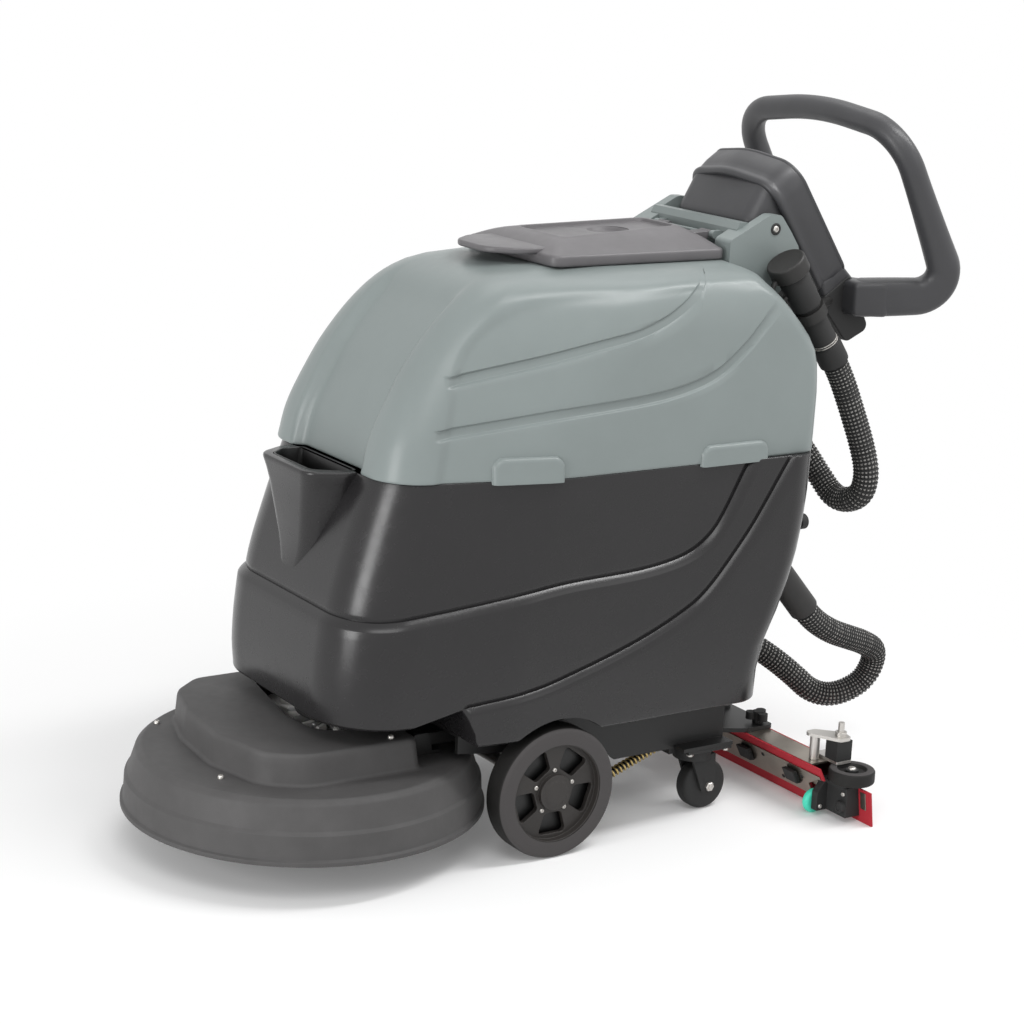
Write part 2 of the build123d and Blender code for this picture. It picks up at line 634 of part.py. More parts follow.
vacuum += rod_z(vac_x, 0, tray_inside_z + 89, tray_inside_z + 150, 46)
vacuum += rod_z(vac_x, 0, tray_inside_z + 149, tray_inside_z + 165, 22)
keep("vacuum_motor", vacuum)

# Upper tank
upper_form = tank_form(UPPER_LEVELS)
recess_zone = block(150, 420, -RECESS_HALF, RECESS_HALF, SEAM_Z - 1, 835)
recess = (upper_form - tank_form(UPPER_LEVELS, -FRONT_RECESS)) & recess_zone
tank = upper_form - recess


def side_groove(points, width):
    """Return the shallow groove along a side curve of (x, z) points."""
    upper = [(x, z + width / 2) for x, z in points]
    lower = [(x, z - width / 2) for x, z in points]
    line = Spline(*upper) + Line(upper[-1], lower[-1]) + Spline(*lower) + Line(lower[0], upper[0])
    return extrude(make_face(Plane.XZ.offset(-320) * line), 640, dir=(0, -1, 0))


groove_skin = upper_form - tank_form(UPPER_LEVELS, -3.5)
flanks = block(-400, 322, 108, 320, 580, 850) + block(-400, 322, -320, -108, 580, 850)
groove_high = side_groove([(330, 730), (192, 751), (57, 766), (-34, 784), (-80, 809), (-107, 835), (-122, 860)], 8)
groove_low = side_groove([(332, 662), (148, 671), (-35, 688), (-106, 704), (-178, 742), (-222, 786), (-246, 815)], 8)
tank -= groove_skin & flanks & groove_high
tank -= groove_skin & flanks & groove_low
tank_hollow = tank_form(UPPER_LEVELS, -UPPER_SHELL) - block(-400, 420, -320, 320, 560, SEAM_Z + 8)
tank_hollow -= block(-400, 420, -320, 320, TANK_TOP_Z - 10, TANK_TOP_Z + 10)
tank -= tank_hollow
mouth = plan_plate(mirrored([(-205, 92), (45, 92)]), TANK_TOP_Z - 20, TANK_TOP_Z + 5, 24)
tank -= mouth
tab_form = tank_form(UPPER_LEVELS, 4)
tab_core = tank_form(UPPER_LEVELS, 4 - UPPER_SHELL)
for tab_x0, tab_x1, tab_top in ((113, 237, 610), (-251, -131, 603)):
    tab_half = [(tab_x0, SEAM_Z), (tab_x1, SEAM_Z), (tab_x1 - 5, tab_top), (tab_x0 + 5, tab_top)]
    tab = side_plate(tab_half, 190, 250, [0, 0, 10, 10])
    tab = (tab & tab_form) - tab_core
    tank += tab + other_side(tab)
drain_root = Vector(-352, 45, 632)
drain_axis = Vector(-0.78, 0.2, -0.59).normalized()
elbow_tip = drain_root + drain_axis * 38
tank += rod(drain_root - drain_axis * 8, elbow_tip, HOSE_RADIUS)
tank -= rod(drain_root - drain_axis * 34, elbow_tip + drain_axis, HOSE_RADIUS - HOSE_WALL)
tank_solid = max(solids_of(tank), key=lambda solid: solid.volume)
keep("recovery_tank", tank_solid)
float_cage = rod_z(-160, 0, SEAM_Z + 8, 800, 28) - rod_z(-160, 0, SEAM_Z + 7, 790, 24)
for turn in range(6):
    float_cage -= Pos(-160, 0, 700) * Rot(0, 0, turn * 60) * Pos(26, 0, 0) * Box(20, 12, 120)
keep("float_cage", float_cage)

# Lid with crown, dish, hinge knuckles and seal


def lid_outline(inset, z):
    """Return the plan of the lid at one height, moved in by inset."""
    half = [(LID_REAR_X + inset, LID_HALF - inset), (LID_FRONT_X - inset, LID_HALF - inset)]
    line = FilletPolyline(*mirrored(half), radius=[12, 16, 16, 12], close=True)
    return Pos(0, 0, z) * make_face(line)


# The lid's top is a plane that rises to the rear, with a shallow tray in it
top_front = LID_FRONT_X - 50
top_rear = LID_REAR_X + 34
top_slope = LID_RISE / (top_front - top_rear)
top_plane = Plane(origin=(0, 0, LID_CROWN_Z + top_front * top_slope), x_dir=(1, 0, -top_slope), z_dir=(top_slope, 0, 1))


def lid_top(inset):
    """Return the lid's top face, narrower at the rear, moved in by inset."""
    half = [(top_rear + inset, 48 - inset), (top_front - inset, 68 - inset)]
    line = FilletPolyline(*mirrored(half), radius=[12, 12, 12, 12], close=True)
    return top_plane * make_face(line)


lid = loft([lid_outline(2, LID_FOOT_Z), lid_outline(0, LID_FOOT_Z + 4)])
lid += extrude(lid_outline(0, LID_FOOT_Z + 4), LID_EDGE_Z - LID_FOOT_Z - 8, dir=(0, 0, 1))
lid += loft([lid_outline(0, LID_EDGE_Z - 4), lid_outline(4, LID_EDGE_Z)], ruled=True)
lid += loft([lid_outline(4, LID_EDGE_Z), lid_top(0)], ruled=True)
lid -= extrude(lid_top(5), TRAY_DEPTH, dir=-top_plane.z_dir)
dish_top = top_plane.from_local_coords((DISH_X, 0, 0)).Z - TRAY_DEPTH
dish_low = (Align.CENTER, Align.CENTER, Align.MIN)
lid -= Pos(DISH_X, 0, dish_top - 8) * Cone(DISH_RADIUS - 5, DISH_RADIUS, 16, align=dish_low)
lid -= block(LID_FRONT_X - 14, LID_FRONT_X + 2, -42, 42, LID_FOOT_Z - 1, LID_FOOT_Z + 6)
tongue_half = [(LID_FRONT_X - 34, 76), (LID_FRONT_X + TONGUE - 42, 76), (LID_FRONT_X + TONGUE, 40)]
lid += plan_plate(mirrored(tongue_half), LID_EDGE_Z - 3.5, LID_EDGE_Z + 6, [4, 40, 40, 40, 40, 4])
knuckle = rod_y(LID_PIN_X, LID_PIN_Z, 40, 66, 6)
leaf_front = LID_REAR_X + 24
leaf = [
    (LID_PIN_X, LID_PIN_Z + 6),
    (leaf_front, LID_PIN_Z + 3),
    (leaf_front, LID_EDGE_Z - 2),
    (LID_REAR_X + 2, LID_EDGE_Z - 2),
    (LID_PIN_X, LID_PIN_Z - 6),
]
knuckle += side_plate(leaf, 40, 66)
lid += knuckle + other_side(knuckle)
lid -= rod_y(LID_PIN_X, LID_PIN_Z, -80, 80, LID_PIN + RUN_GAP)
seal_outer = [(-222, 104), (54, 104)]
seal_inner = [(-213, 95), (46, 95)]
groove_outer = [(x + FIT_GAP * (1 if x > 0 else -1), y + FIT_GAP) for x, y in seal_outer]
groove_inner = [(x - FIT_GAP * (1 if x > 0 else -1), y - FIT_GAP) for x, y in seal_inner]
groove = plan_plate(mirrored(groove_outer), LID_FOOT_Z - 1, LID_FOOT_Z + 8, 12)
lid -= groove - plan_plate(mirrored(groove_inner), LID_FOOT_Z - 2, LID_FOOT_Z + 9, 8)
keep("lid", lid)
seal = plan_plate(mirrored(seal_outer), LID_FOOT_Z - 0.6, LID_FOOT_Z + 7.8, 12)
seal -= plan_plate(mirrored(seal_inner), LID_FOOT_Z - 2, LID_FOOT_Z + 9, 8)
keep("lid_seal", seal)

# Yoke: two arms, cross beam and hinge lugs, seated on the tank
yoke_arm = side_plate(
    [(YOKE_FRONT_X, 830), (YOKE_FRONT_X, 882), (-318, 919), (-338, 918), (-358, 893), (-380, 862), (-345, 800), (-300, 790)],
    YOKE_INNER,
    YOKE_OUTER,
    [2, 8, 16, 12, 24, 20, 10, 4],
)
beam_front = -268.0
beam_rear = -292.0
shoulder = [(YOKE_FRONT_X, 830), (YOKE_FRONT_X, 882), (beam_rear, 906.2), (beam_rear, 830)]
yoke_arm += side_plate(shoulder, YOKE_INNER - 18, YOKE_INNER + 1, [2, 8, 4, 2])
yoke = yoke_arm + other_side(yoke_arm)
beam = side_plate(
    [(beam_front, 840), (beam_front, 896), (-274, 906), (-288, 906), (beam_rear, 896), (beam_rear, 800)],
    -YOKE_INNER - 2,
    YOKE_INNER + 2,
)
yoke += beam
hinge_lug = rod_y(LID_PIN_X, LID_PIN_Z, 66.4, 76, 6) + block(beam_front - 2, LID_PIN_X, 66.4, 76, LID_PIN_Z - 6, LID_PIN_Z + 6)
yoke += hinge_lug + other_side(hinge_lug)
yoke += rod_y(LID_PIN_X, LID_PIN_Z, -76, 76, LID_PIN)
yoke -= tank_form(UPPER_LEVELS, FIT_GAP)
yoke_solid = max(solids_of(yoke), key=lambda solid: solid.volume)
keep("yoke", yoke_solid)

# Console hood on its own plane: local x to the operator's right, y up the face, z to the operator
face_up = (Vector(HOOD_FACE_HIGH[0], 0, HOOD_FACE_HIGH[1]) - Vector(HOOD_FACE_LOW[0], 0, HOOD_FACE_LOW[1]))
face_length = face_up.length
hood_origin = ((HOOD_FACE_LOW[0] + HOOD_FACE_HIGH[0]) / 2, 0, (HOOD_FACE_LOW[1] + HOOD_FACE_HIGH[1]) / 2)
face_out = Vector(-face_up.Z, 0, face_up.X)
hood_plane = Plane(origin=hood_origin, x_dir=(0, -1, 0), z_dir=face_out)
shoulder_y = face_length / 2 - 5
rim_line = FilletPolyline(
    (-HOOD_HALF, -face_length / 2),
    (HOOD_HALF, -face_length / 2),
    (HOOD_HALF, shoulder_y),
    (0, face_length / 2 + HOOD_ARCH),
    (-HOOD_HALF, shoulder_y),
    radius=[26, 26, 44, 200, 44],
    close=True,
)
rim = extrude(hood_plane.offset(-HOOD_DEPTH) * make_face(rim_line), HOOD_DEPTH, dir=face_out)
front_half = YOKE_INNER - FIT_GAP
front = side_plate(
    [(-337, 955), (-300, 906), (-308, 866), (-421, 815), (-452, 838), (-372, 948)], -front_half, front_half, [10, 14, 14, 4, 4, 4]
)
hood = rim + front
hood -= extrude(hood_plane.offset(-HOOD_POCKET) * RectangleRounded(2 * HOOD_HALF - 22, face_length - 24, 22), HOOD_POCKET + 1, dir=face_out)
keep("console_hood", hood)

# Control panel with a charge gauge, three push buttons and a key switch
panel_foot = -HOOD_POCKET + FIT_GAP
panel_top = panel_foot + PANEL_THICK
panel = extrude(hood_plane.offset(panel_foot) * RectangleRounded(2 * HOOD_HALF - 24, face_length - 26, 21), PANEL_THICK, dir=face_out)
button_spots = {"brush_button": (-45.0, 0.0), "vacuum_button": (0.0, 0.0), "water_button": (45.0, 0.0)}
key_spot = (0.0, -52.0)
gauge_spot = (0.0, 52.0)


def on_panel(spot, z0, z1, radius):
    """Return a round bar standing on the panel between two local heights."""
    face = hood_plane.offset(z0) * Pos(spot[0], spot[1]) * Circle(radius)
    return extrude(face, z1 - z0, dir=face_out)


for spot in button_spots.values():
    panel -= on_panel(spot, panel_foot - 1, panel_top + 1, BUTTON_RADIUS + 0.3)
panel -= on_panel(key_spot, panel_foot - 1, panel_top + 1, 6 + RUN_GAP)
panel += extrude(hood_plane.offset(panel_top) * Pos(*gauge_spot) * RectangleRounded(90, 34, 6), 2.5, dir=face_out)
keep("control_panel", panel)
for button_name, spot in button_spots.items():
    keep(button_name, on_panel(spot, panel_foot + BUTTON_TRAVEL + 0.2, panel_top + 6, BUTTON_RADIUS))
key = on_panel(key_spot, panel_foot + 0.3, panel_top + 1, 6) + on_panel(key_spot, panel_top + 0.1, panel_top + 7, 12)
key += extrude(hood_plane.offset(panel_top + 6) * Pos(*key_spot) * RectangleRounded(4, 20, 1.5), 14, dir=face_out)
keep("key_switch", key)

# Wiring box under the hood, and the loop handle
wiring_half = HOOD_HALF
wiring = side_plate(
    [(-424, 814), (-457, 760), (-501, 709), (-546, 730), (-500, 814)], -wiring_half, wiring_half, [2, 20, 12, 12, 4]
)
wiring -= extrude(hood_plane.offset(-HOOD_DEPTH - 60) * Rectangle(400, face_length + 2 * FIT_GAP), HOOD_DEPTH + 90, dir=face_out)
wiring -= side_plate([(-300, 900), (-308, 865.6), (-421, 814.6), (-460, 836), (-400, 930)], -200, 200)
wiring_solid = max(solids_of(wiring), key=lambda solid: solid.volume)
keep("wiring_box", wiring_solid)
arm_root = Vector(-478, 104, 781)
arm_corner = Vector(-643, HANDLE_HALF, 790)
leg_top = Vector(-505, HANDLE_HALF, HANDLE_CORNER_Z)
loop_half = [arm_root, arm_corner, leg_top]
loop_far = [Vector(point.X, -point.Y, point.Z) for point in reversed(loop_half)]
crest = Vector(leg_top.X + 2, 0, HANDLE_TOP_Z)
loop = FilletPolyline(*loop_half, crest, *loop_far, radius=[42, 75, 600, 75, 42])
arm_way = (arm_corner - arm_root).normalized()
leg_way = (leg_top - arm_corner).normalized()
handle = sweep(Plane(origin=arm_root, z_dir=arm_way) * Circle(HANDLE_RADIUS), path=loop)
elbow_end = arm_corner + leg_way * 80
elbow_path = FilletPolyline(arm_root, arm_corner, elbow_end, radius=42)
elbow = sweep(Plane(origin=arm_root, z_dir=arm_way) * Circle(HANDLE_ELBOW_RADIUS), path=elbow_path)
elbow += rod(arm_root, arm_root + arm_way * 160, HANDLE_ROOT_RADIUS, HANDLE_ELBOW_RADIUS - 2)
elbow += rod(elbow_end - leg_way * 20, elbow_end + leg_way * 100, HANDLE_ELBOW_RADIUS - 1, HANDLE_RADIUS - 2)
handle += elbow + other_side(elbow)
handle -= block(-600, -300, -wiring_half - FIT_GAP, wiring_half + FIT_GAP, 600, 900)
keep("handle", handle)

# Drain pipe, cap with pull ring and clip
pipe_axis = (Vector(*DRAIN_TOP) - Vector(*DRAIN_FOOT)).normalized()
pipe = rod(DRAIN_FOOT, DRAIN_TOP, HOSE_RADIUS)
cap_foot = Vector(*DRAIN_TOP) - pipe_axis * 16
pipe += rod((Vector(*DRAIN_FOOT) + pipe_axis * 112), (cap_foot - pipe_axis * FIT_GAP), PIPE_SLEEVE)
pipe -= rod((Vector(*DRAIN_FOOT) - pipe_axis), (Vector(*DRAIN_TOP) + pipe_axis), HOSE_RADIUS - HOSE_WALL)
keep("drain_pipe", pipe)
cap_top = Vector(*DRAIN_TOP) + pipe_axis * 9
cap = rod(cap_foot, cap_top, CAP_RADIUS)
cap -= rod((cap_foot - pipe_axis), (Vector(*DRAIN_TOP) + pipe_axis * 0.3), HOSE_RADIUS + RUN_GAP)
ring_center = (-315, DRAIN_Y, 810)
pull = Plane(origin=ring_center, z_dir=(0, 1, 0)) * Torus(16, 4)
pull -= rod((cap_foot - pipe_axis * 60), (cap_foot + pipe_axis * 10), CAP_RADIUS - 1)
cap += pull
keep("drain_cap", cap)
clip_mid = Vector(*DRAIN_FOOT) + pipe_axis * 98
clip = rod((clip_mid - pipe_axis * 9), (clip_mid + pipe_axis * 9), HOSE_RADIUS + 5)
stay_end = (-462, wiring_half - 6, 777)
clip += rod((clip_mid + Vector(-12, -12, 0)), stay_end, 8)
clip -= block(-600, -300, 0, wiring_half + FIT_GAP, 600, 900)
clip -= rod((clip_mid - pipe_axis * 40), (clip_mid + pipe_axis * 40), HOSE_RADIUS + 0.1)
clip_solid = max(solids_of(clip), key=lambda solid: solid.volume)
keep("hose_clip", clip_solid)


# Corrugated hoses as plain tubes on straight runs and tangent arcs
def hose(name, route):
    """Sweep a hose along a route and write it, with its bend radii."""
    points = [Vector(*point) for point in route]
    radii = []
    for back, here, ahead in zip(points, points[1:], points[2:]):
        arriving = here - back
        leaving = ahead - here
        turn = radians(arriving.get_angle(leaving))
        radii.append(0.45 * min(arriving.length, leaving.length) / tan(turn / 2))
    path = FilletPolyline(*route, radius=radii)
    start = Plane(origin=points[0], z_dir=points[1] - points[0])
    tube = sweep(start * Circle(HOSE_RADIUS), path=path)
    print(name, "length", round(path.length), "radii", [round(radius) for radius in radii])
    keep(name, tube)


drain_start = Vector(*DRAIN_FOOT) - pipe_axis * FIT_GAP
drain_end = elbow_tip + drain_axis * FIT_GAP
hose(
    "drain_hose",
    [
        drain_start,
        drain_start - pipe_axis * 26,
        (-470, 172, 614),
        (-490, 181, 556),
        (-498, 188, 512),
        (-498, 176, 472),
        (-495, 122, 456),
        (-483, 86, 496),
        (-456, 68, 542),
        drain_end + drain_axis * 46,
        drain_end,
    ],
)
suction_start = suction_tip + suction_axis * FIT_GAP
neck_top = BODY_TOP_Z + 36
hose(
    "suction_hose",
    [
        suction_start,
        suction_start + suction_axis * 24,
        (-484, 143, 246),
        (-536, 130, 225),
        (-580, 117, 208),
        (-624, 106, 184),
        (-614, 94, 130),
        (-566, 78, 105),
        (-526, 62, 112),
        (-496, 50, 142),
        (-461, 36, 172),
        (-420, 18, 201),
        (NECK_X, 0, neck_top + 55),
        (NECK_X, 0, neck_top + FIT_GAP),
    ],
)


# Squeegee: raked front blade, steeper rear blade, steel channel between them
def front_face(z):
    """Return the x of the front blade's front face at a height."""
    return -348 - 0.53 * (BLADE_TOP_Z - z)


def rear_face(z):
    """Return the x of the rear blade's rear face at a height."""
    return -401 - 0.14 * (BLADE_TOP_Z - z)


def layer(face, z0, z1, first, last):
    """Return the outline of a raked layer between two offsets behind a face line."""
    return [(face(z0) + first, z0), (face(z0) + last, z0), (face(z1) + last, z1), (face(z1) + first, z1)]


def channel(first, last, z0, z1):
    """Return the outline between the two blades at given offsets."""
    return [(rear_face(z0) + last, z0), (front_face(z0) - first, z0), (front_face(z1) - first, z1), (rear_face(z1) + last, z1)]


front_line = layer(front_face, 1.0, BLADE_TOP_Z, -BLADE_THICK, 0)
front_blade = side_plate(front_line, -FRONT_BLADE_HALF, FRONT_BLADE_HALF)
wheel_gap_y = SUPPORT_Y - 12
wheel_gap = cross_plate([(wheel_gap_y, -5), (wheel_gap_y, 44), (wheel_gap_y + 34, 62), (320, 62), (320, -5)], -400, -330)
wheel_gaps = [wheel_gap, other_side(wheel_gap)]
for gap in wheel_gaps:
    front_blade -= gap
keep("front_blade", front_blade)
rear_blade = side_plate(layer(rear_face, 0.0, BLADE_TOP_Z, 0, BLADE_THICK), -BLADE_HALF, BLADE_HALF)
notch_z = 56.0
notch = block(-440, -380, ROLLER_Y - ROLLER_RADIUS - 6, BLADE_HALF + 5, notch_z, BLADE_TOP_Z + 5)
rear_blade -= notch
rear_blade -= other_side(notch)
keep("rear_blade", rear_blade)
steel = side_plate(channel(BLADE_THICK + 0.1, BLADE_THICK + 0.1, 44, BODY_TOP_Z), -BODY_HALF, BODY_HALF)
steel -= side_plate(channel(BLADE_THICK + 2.6, BLADE_THICK + 2.6, 30, BODY_TOP_Z - 3), -BODY_HALF - 1, BODY_HALF + 1)
steel -= rod_z(NECK_X, 0, 60, BODY_TOP_Z + 5, 14)
for flank in (1, -1):
    steel -= rod_z(KNOB_X, flank * KNOB_Y, 70, BODY_TOP_Z + 5, 5 + RUN_GAP)
keep("squeegee_body", steel)
strap_half = FRONT_BLADE_HALF - 6
front_strap = side_plate(layer(front_face, 22, 68, 0.1, 2.4), -strap_half, strap_half)
for gap in wheel_gaps:
    front_strap -= gap
rear_strap = side_plate(layer(rear_face, 30, 52, -2.4, -0.1), -BLADE_HALF + 20, BLADE_HALF - 20)
end_insert = side_plate(layer(rear_face, 24, 52, BLADE_THICK + 0.1, BLADE_THICK + 1.6), BLADE_HALF - 22, BLADE_HALF - 10)
keep("blade_straps", front_strap, rear_strap, end_insert, other_side(end_insert))
clamps = []
for clamp_y in (105, 222):
    clamp = side_plate(layer(front_face, 36, 58, 2.6, 13), clamp_y - 14, clamp_y + 14)
    clamps.append(clamp)
    clamps.append(other_side(clamp))
keep("strap_clamps", *clamps)

# Bracket plate on the chassis hinge, with suction neck and two knobs
bracket_z0 = BODY_TOP_Z + 0.1
bracket_z1 = bracket_z0 + 7
bracket = plan_plate(mirrored([(-404, 116), (-352, 116), (-306, 92), (-300, 58)]), bracket_z0, bracket_z1, 6)
bracket += block(-299, HINGE_X, -61.7, 61.7, HINGE_Z - 9, HINGE_Z - 2)
bracket += block(-306, -299, -58, 58, bracket_z0, HINGE_Z - 2)
bracket += rod_y(HINGE_X, HINGE_Z, -61.7, 61.7, 10)
bracket -= rod_y(HINGE_X, HINGE_Z, -80, 80, HINGE_PIN + RUN_GAP)
neck_radius = 18.0
bracket += rod_z(NECK_X, 0, bracket_z0, neck_top, neck_radius)
bracket += rod_z(NECK_X, 0, bracket_z1 - 1, bracket_z1 + 6, neck_radius + 7)
bracket -= rod_z(NECK_X, 0, 60, neck_top + 1, neck_radius - 4)
for flank in (1, -1):
    bracket -= rod_z(KNOB_X, flank * KNOB_Y, 70, 120, 5 + RUN_GAP)
keep("squeegee_bracket", bracket)
for knob_name, flank in (("left_knob", 1), ("right_knob", -1)):
    spot_y = flank * KNOB_Y
    knob = rod_z(KNOB_X, spot_y, BODY_TOP_Z - 6, bracket_z1 + 8, 5)
    knob += rod_z(KNOB_X, spot_y, bracket_z1 + 0.3, bracket_z1 + 20, 9)
    for turn in range(3):
        lobe_x = KNOB_X + 12 * cos(radians(90 + 120 * turn))
        lobe_y = spot_y + 12 * sin(radians(90 + 120 * turn))
        knob += rod_z(lobe_x, lobe_y, bracket_z1 + 7, bracket_z1 + 19, 8)
    keep(knob_name, knob)

# Bumper rollers on steel end brackets, adjuster blocks and support wheels
roller_z0 = 62.0
roller_z1 = bracket_z0 - 0.6
roller_pin = 6.0
roller = rod_z(ROLLER_X, ROLLER_Y, roller_z0, roller_z1, ROLLER_RADIUS)
roller -= rod_z(ROLLER_X, ROLLER_Y, roller_z0 - 1, roller_z1 + 1, roller_pin + RUN_GAP)
roller_floor = roller_z1 - 6
roller -= rod_z(ROLLER_X, ROLLER_Y, roller_floor, roller_z1 + 1, 21)
keep("left_roller", roller)
keep("right_roller", other_side(roller))
post_y = 285.0
block_z1 = 122.0
end_plate = plan_plate(
    [(-384, 244), (-384, 300), (-414, 300), (-414, 244)],
    bracket_z0,
    bracket_z0 + 5,
    4,
)
bolt_spot = (ROLLER_X, post_y)
post_spot = (-372, 258)
bar_foot = block_z1 + FIT_GAP
end_plate += rod_z(*bolt_spot, bracket_z0 + 4, block_z1 + 26, 5)
bar = plan_plate([(-356, 244), (-382, 244), (-414, 276), (-408, 302), (-386, 302)], bar_foot, bar_foot + 5, 8)
end_plate += bar
end_plate += rod_z(*post_spot, bracket_z0 + FIT_GAP, bar_foot + 1, 8)
end_plate += rod_z(*bolt_spot, bar_foot + 4, bar_foot + 11, 9)
keep("roller_brackets", end_plate, other_side(end_plate))
adjuster = block(-412, -382, post_y - 13, post_y + 15, bracket_z0 + 5 + FIT_GAP, block_z1)
adjuster -= rod_z(*bolt_spot, 60, block_z1 + 5, 5 + RUN_GAP)
keep("adjuster_blocks", adjuster, other_side(adjuster))
support_y0 = SUPPORT_Y - 6
support = rod_y(SUPPORT_X, SUPPORT_RADIUS, support_y0, support_y0 + 13, SUPPORT_RADIUS)
support -= rod_y(SUPPORT_X, SUPPORT_RADIUS, support_y0 - 1, support_y0 + 14, 4 + RUN_GAP)
keep("left_support_wheel", support)
keep("right_support_wheel", other_side(support))
holder_y0 = BODY_HALF + FIT_GAP
blade_front = BLADE_THICK + FIT_GAP
holder_low = (rear_face(10) + blade_front, 10)
holder_top = notch_z + 2
holder_rear = (rear_face(holder_top) + blade_front, holder_top)
holder_cap = roller_z0 - 0.3
holder = side_plate([holder_low, holder_rear, (-372, holder_top), (-358, 40), (-358, 10)], holder_y0, holder_y0 + 13)
holder += side_plate([holder_low, holder_rear, (-378, holder_top), (-378, 10)], holder_y0, ROLLER_Y + 17)
holder += block(ROLLER_X - 14, -372, holder_y0, ROLLER_Y + 14, notch_z + FIT_GAP, holder_cap)
holder += rod_z(ROLLER_X, ROLLER_Y, holder_cap - 1, roller_floor + 1, roller_pin)
holder += rod_z(ROLLER_X, ROLLER_Y, roller_floor + 0.3, roller_floor + 4, 10)
holder += rod_y(SUPPORT_X, SUPPORT_RADIUS, support_y0 - 2, holder_y0 + 1, 4)
keep("support_brackets", holder, other_side(holder))

# Overall size and count of nodes
whole = Compound(children=list(made.values()))
size = whole.bounding_box()
print("nodes", len(made), "min", size.min, "max", size.max)
for name, shape in made.items():
    if not shape.is_valid or len(shape.solids()) < 1:
        print("not sound", name)
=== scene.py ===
"""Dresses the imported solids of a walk-behind floor scrubber.

Sizes are millimetres in the machine's own frame and turn into metres when a mesh is made.
"""

import json
import logging
import math
from collections.abc import Callable, Sequence
from dataclasses import dataclass, field
from enum import Enum

import bmesh
import bpy
from mathutils import Matrix, Vector

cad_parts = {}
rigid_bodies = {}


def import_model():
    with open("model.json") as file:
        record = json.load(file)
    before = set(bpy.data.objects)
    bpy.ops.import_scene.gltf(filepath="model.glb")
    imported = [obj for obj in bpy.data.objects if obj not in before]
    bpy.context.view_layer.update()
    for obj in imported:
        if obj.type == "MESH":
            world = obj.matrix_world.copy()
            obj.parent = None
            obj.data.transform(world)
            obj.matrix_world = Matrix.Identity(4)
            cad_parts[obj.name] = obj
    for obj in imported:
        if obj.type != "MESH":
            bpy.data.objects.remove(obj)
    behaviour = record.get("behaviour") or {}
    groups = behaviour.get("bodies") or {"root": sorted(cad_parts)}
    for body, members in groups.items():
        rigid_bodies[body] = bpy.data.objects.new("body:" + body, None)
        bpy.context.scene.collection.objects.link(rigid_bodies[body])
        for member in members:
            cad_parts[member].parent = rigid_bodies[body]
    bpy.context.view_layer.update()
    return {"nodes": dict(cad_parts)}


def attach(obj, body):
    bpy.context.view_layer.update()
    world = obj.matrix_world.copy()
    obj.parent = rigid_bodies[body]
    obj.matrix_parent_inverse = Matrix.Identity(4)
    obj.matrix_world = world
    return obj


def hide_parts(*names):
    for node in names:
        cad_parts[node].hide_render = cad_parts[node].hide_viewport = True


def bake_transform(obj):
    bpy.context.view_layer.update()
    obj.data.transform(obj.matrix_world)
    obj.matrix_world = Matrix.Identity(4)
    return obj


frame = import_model()

MM = 0.001
SEAM = 574.0
AXLE_X = 99.0
AXLE_Z = 100.0
MOTOR_X = 328.7
LOG = logging.getLogger("scrubber")
Point = Sequence[float]
Piece = bpy.types.Object


class Side(Enum):
    """Sides of the machine, with the sign of their y."""

    LEFT = 1
    RIGHT = -1

    @property
    def label(self) -> str:
        """Return the side's name as pieces and nodes carry it."""
        return self.name.lower()


# Curves and smooth steps


def ease(low: float, high: float, value: float) -> float:
    """Return a smooth step from 0 at low to 1 at high.

    Args:
        low: Value where the step starts.
        high: Value where it ends.
        value: Value to look up.

    Returns:
        The step between 0 and 1.
    """
    part = min(1.0, max(0.0, (value - low) / (high - low)))
    return part * part * (3 - 2 * part)


@dataclass(frozen=True)
class Track:
    """A smooth curve of value over a rising key, through given knots."""

    knots: tuple[tuple[float, float], ...]

    def slope_at(self, index: int) -> float:
        """Return the slope of the curve at one of its knots.

        Args:
            index: Number of the knot.

        Returns:
            The slope there.
        """
        first = max(0, index - 1)
        last = min(len(self.knots) - 1, index + 1)
        rise = self.knots[last][1] - self.knots[first][1]
        return rise / (self.knots[last][0] - self.knots[first][0])

    def value(self, key: float) -> float:
        """Return the curve's value, carried straight on past its ends.

        Args:
            key: The key to look up.

        Returns:
            The value there.
        """
        knots = self.knots
        if key <= knots[0][0]:
            return knots[0][1] + self.slope_at(0) * (key - knots[0][0])
        if key >= knots[-1][0]:
            return knots[-1][1] + self.slope_at(len(knots) - 1) * (key - knots[-1][0])
        index = 0
        while key > knots[index + 1][0]:
            index += 1
        (key_a, value_a), (key_b, value_b) = knots[index], knots[index + 1]
        span = key_b - key_a
        part = (key - key_a) / span
        turn_a = self.slope_at(index) * span
        turn_b = self.slope_at(index + 1) * span
        square = part * part
        cube = square * part
        return (
            (2 * cube - 3 * square + 1) * value_a
            + (cube - 2 * square + part) * turn_a
            + (3 * square - 2 * cube) * value_b
            + (cube - square) * turn_b
        )

    def slope(self, key: float) -> float:
        """Return the curve's slope at a key."""
        return self.value(key + 0.5) - self.value(key - 0.5)

    def ends(self) -> tuple[float, float]:
        """Return the keys of the first and the last knot."""
        return self.knots[0][0], self.knots[-1][0]

    def line(self, key: float, span: tuple[float, float]) -> tuple[float, float]:
        """Return the value at a key held within a span, and the curve's length per step of the key."""
        held = max(span[0], min(span[1], key))
        return self.value(held), math.hypot(1.0, self.slope(held))


# Meshes


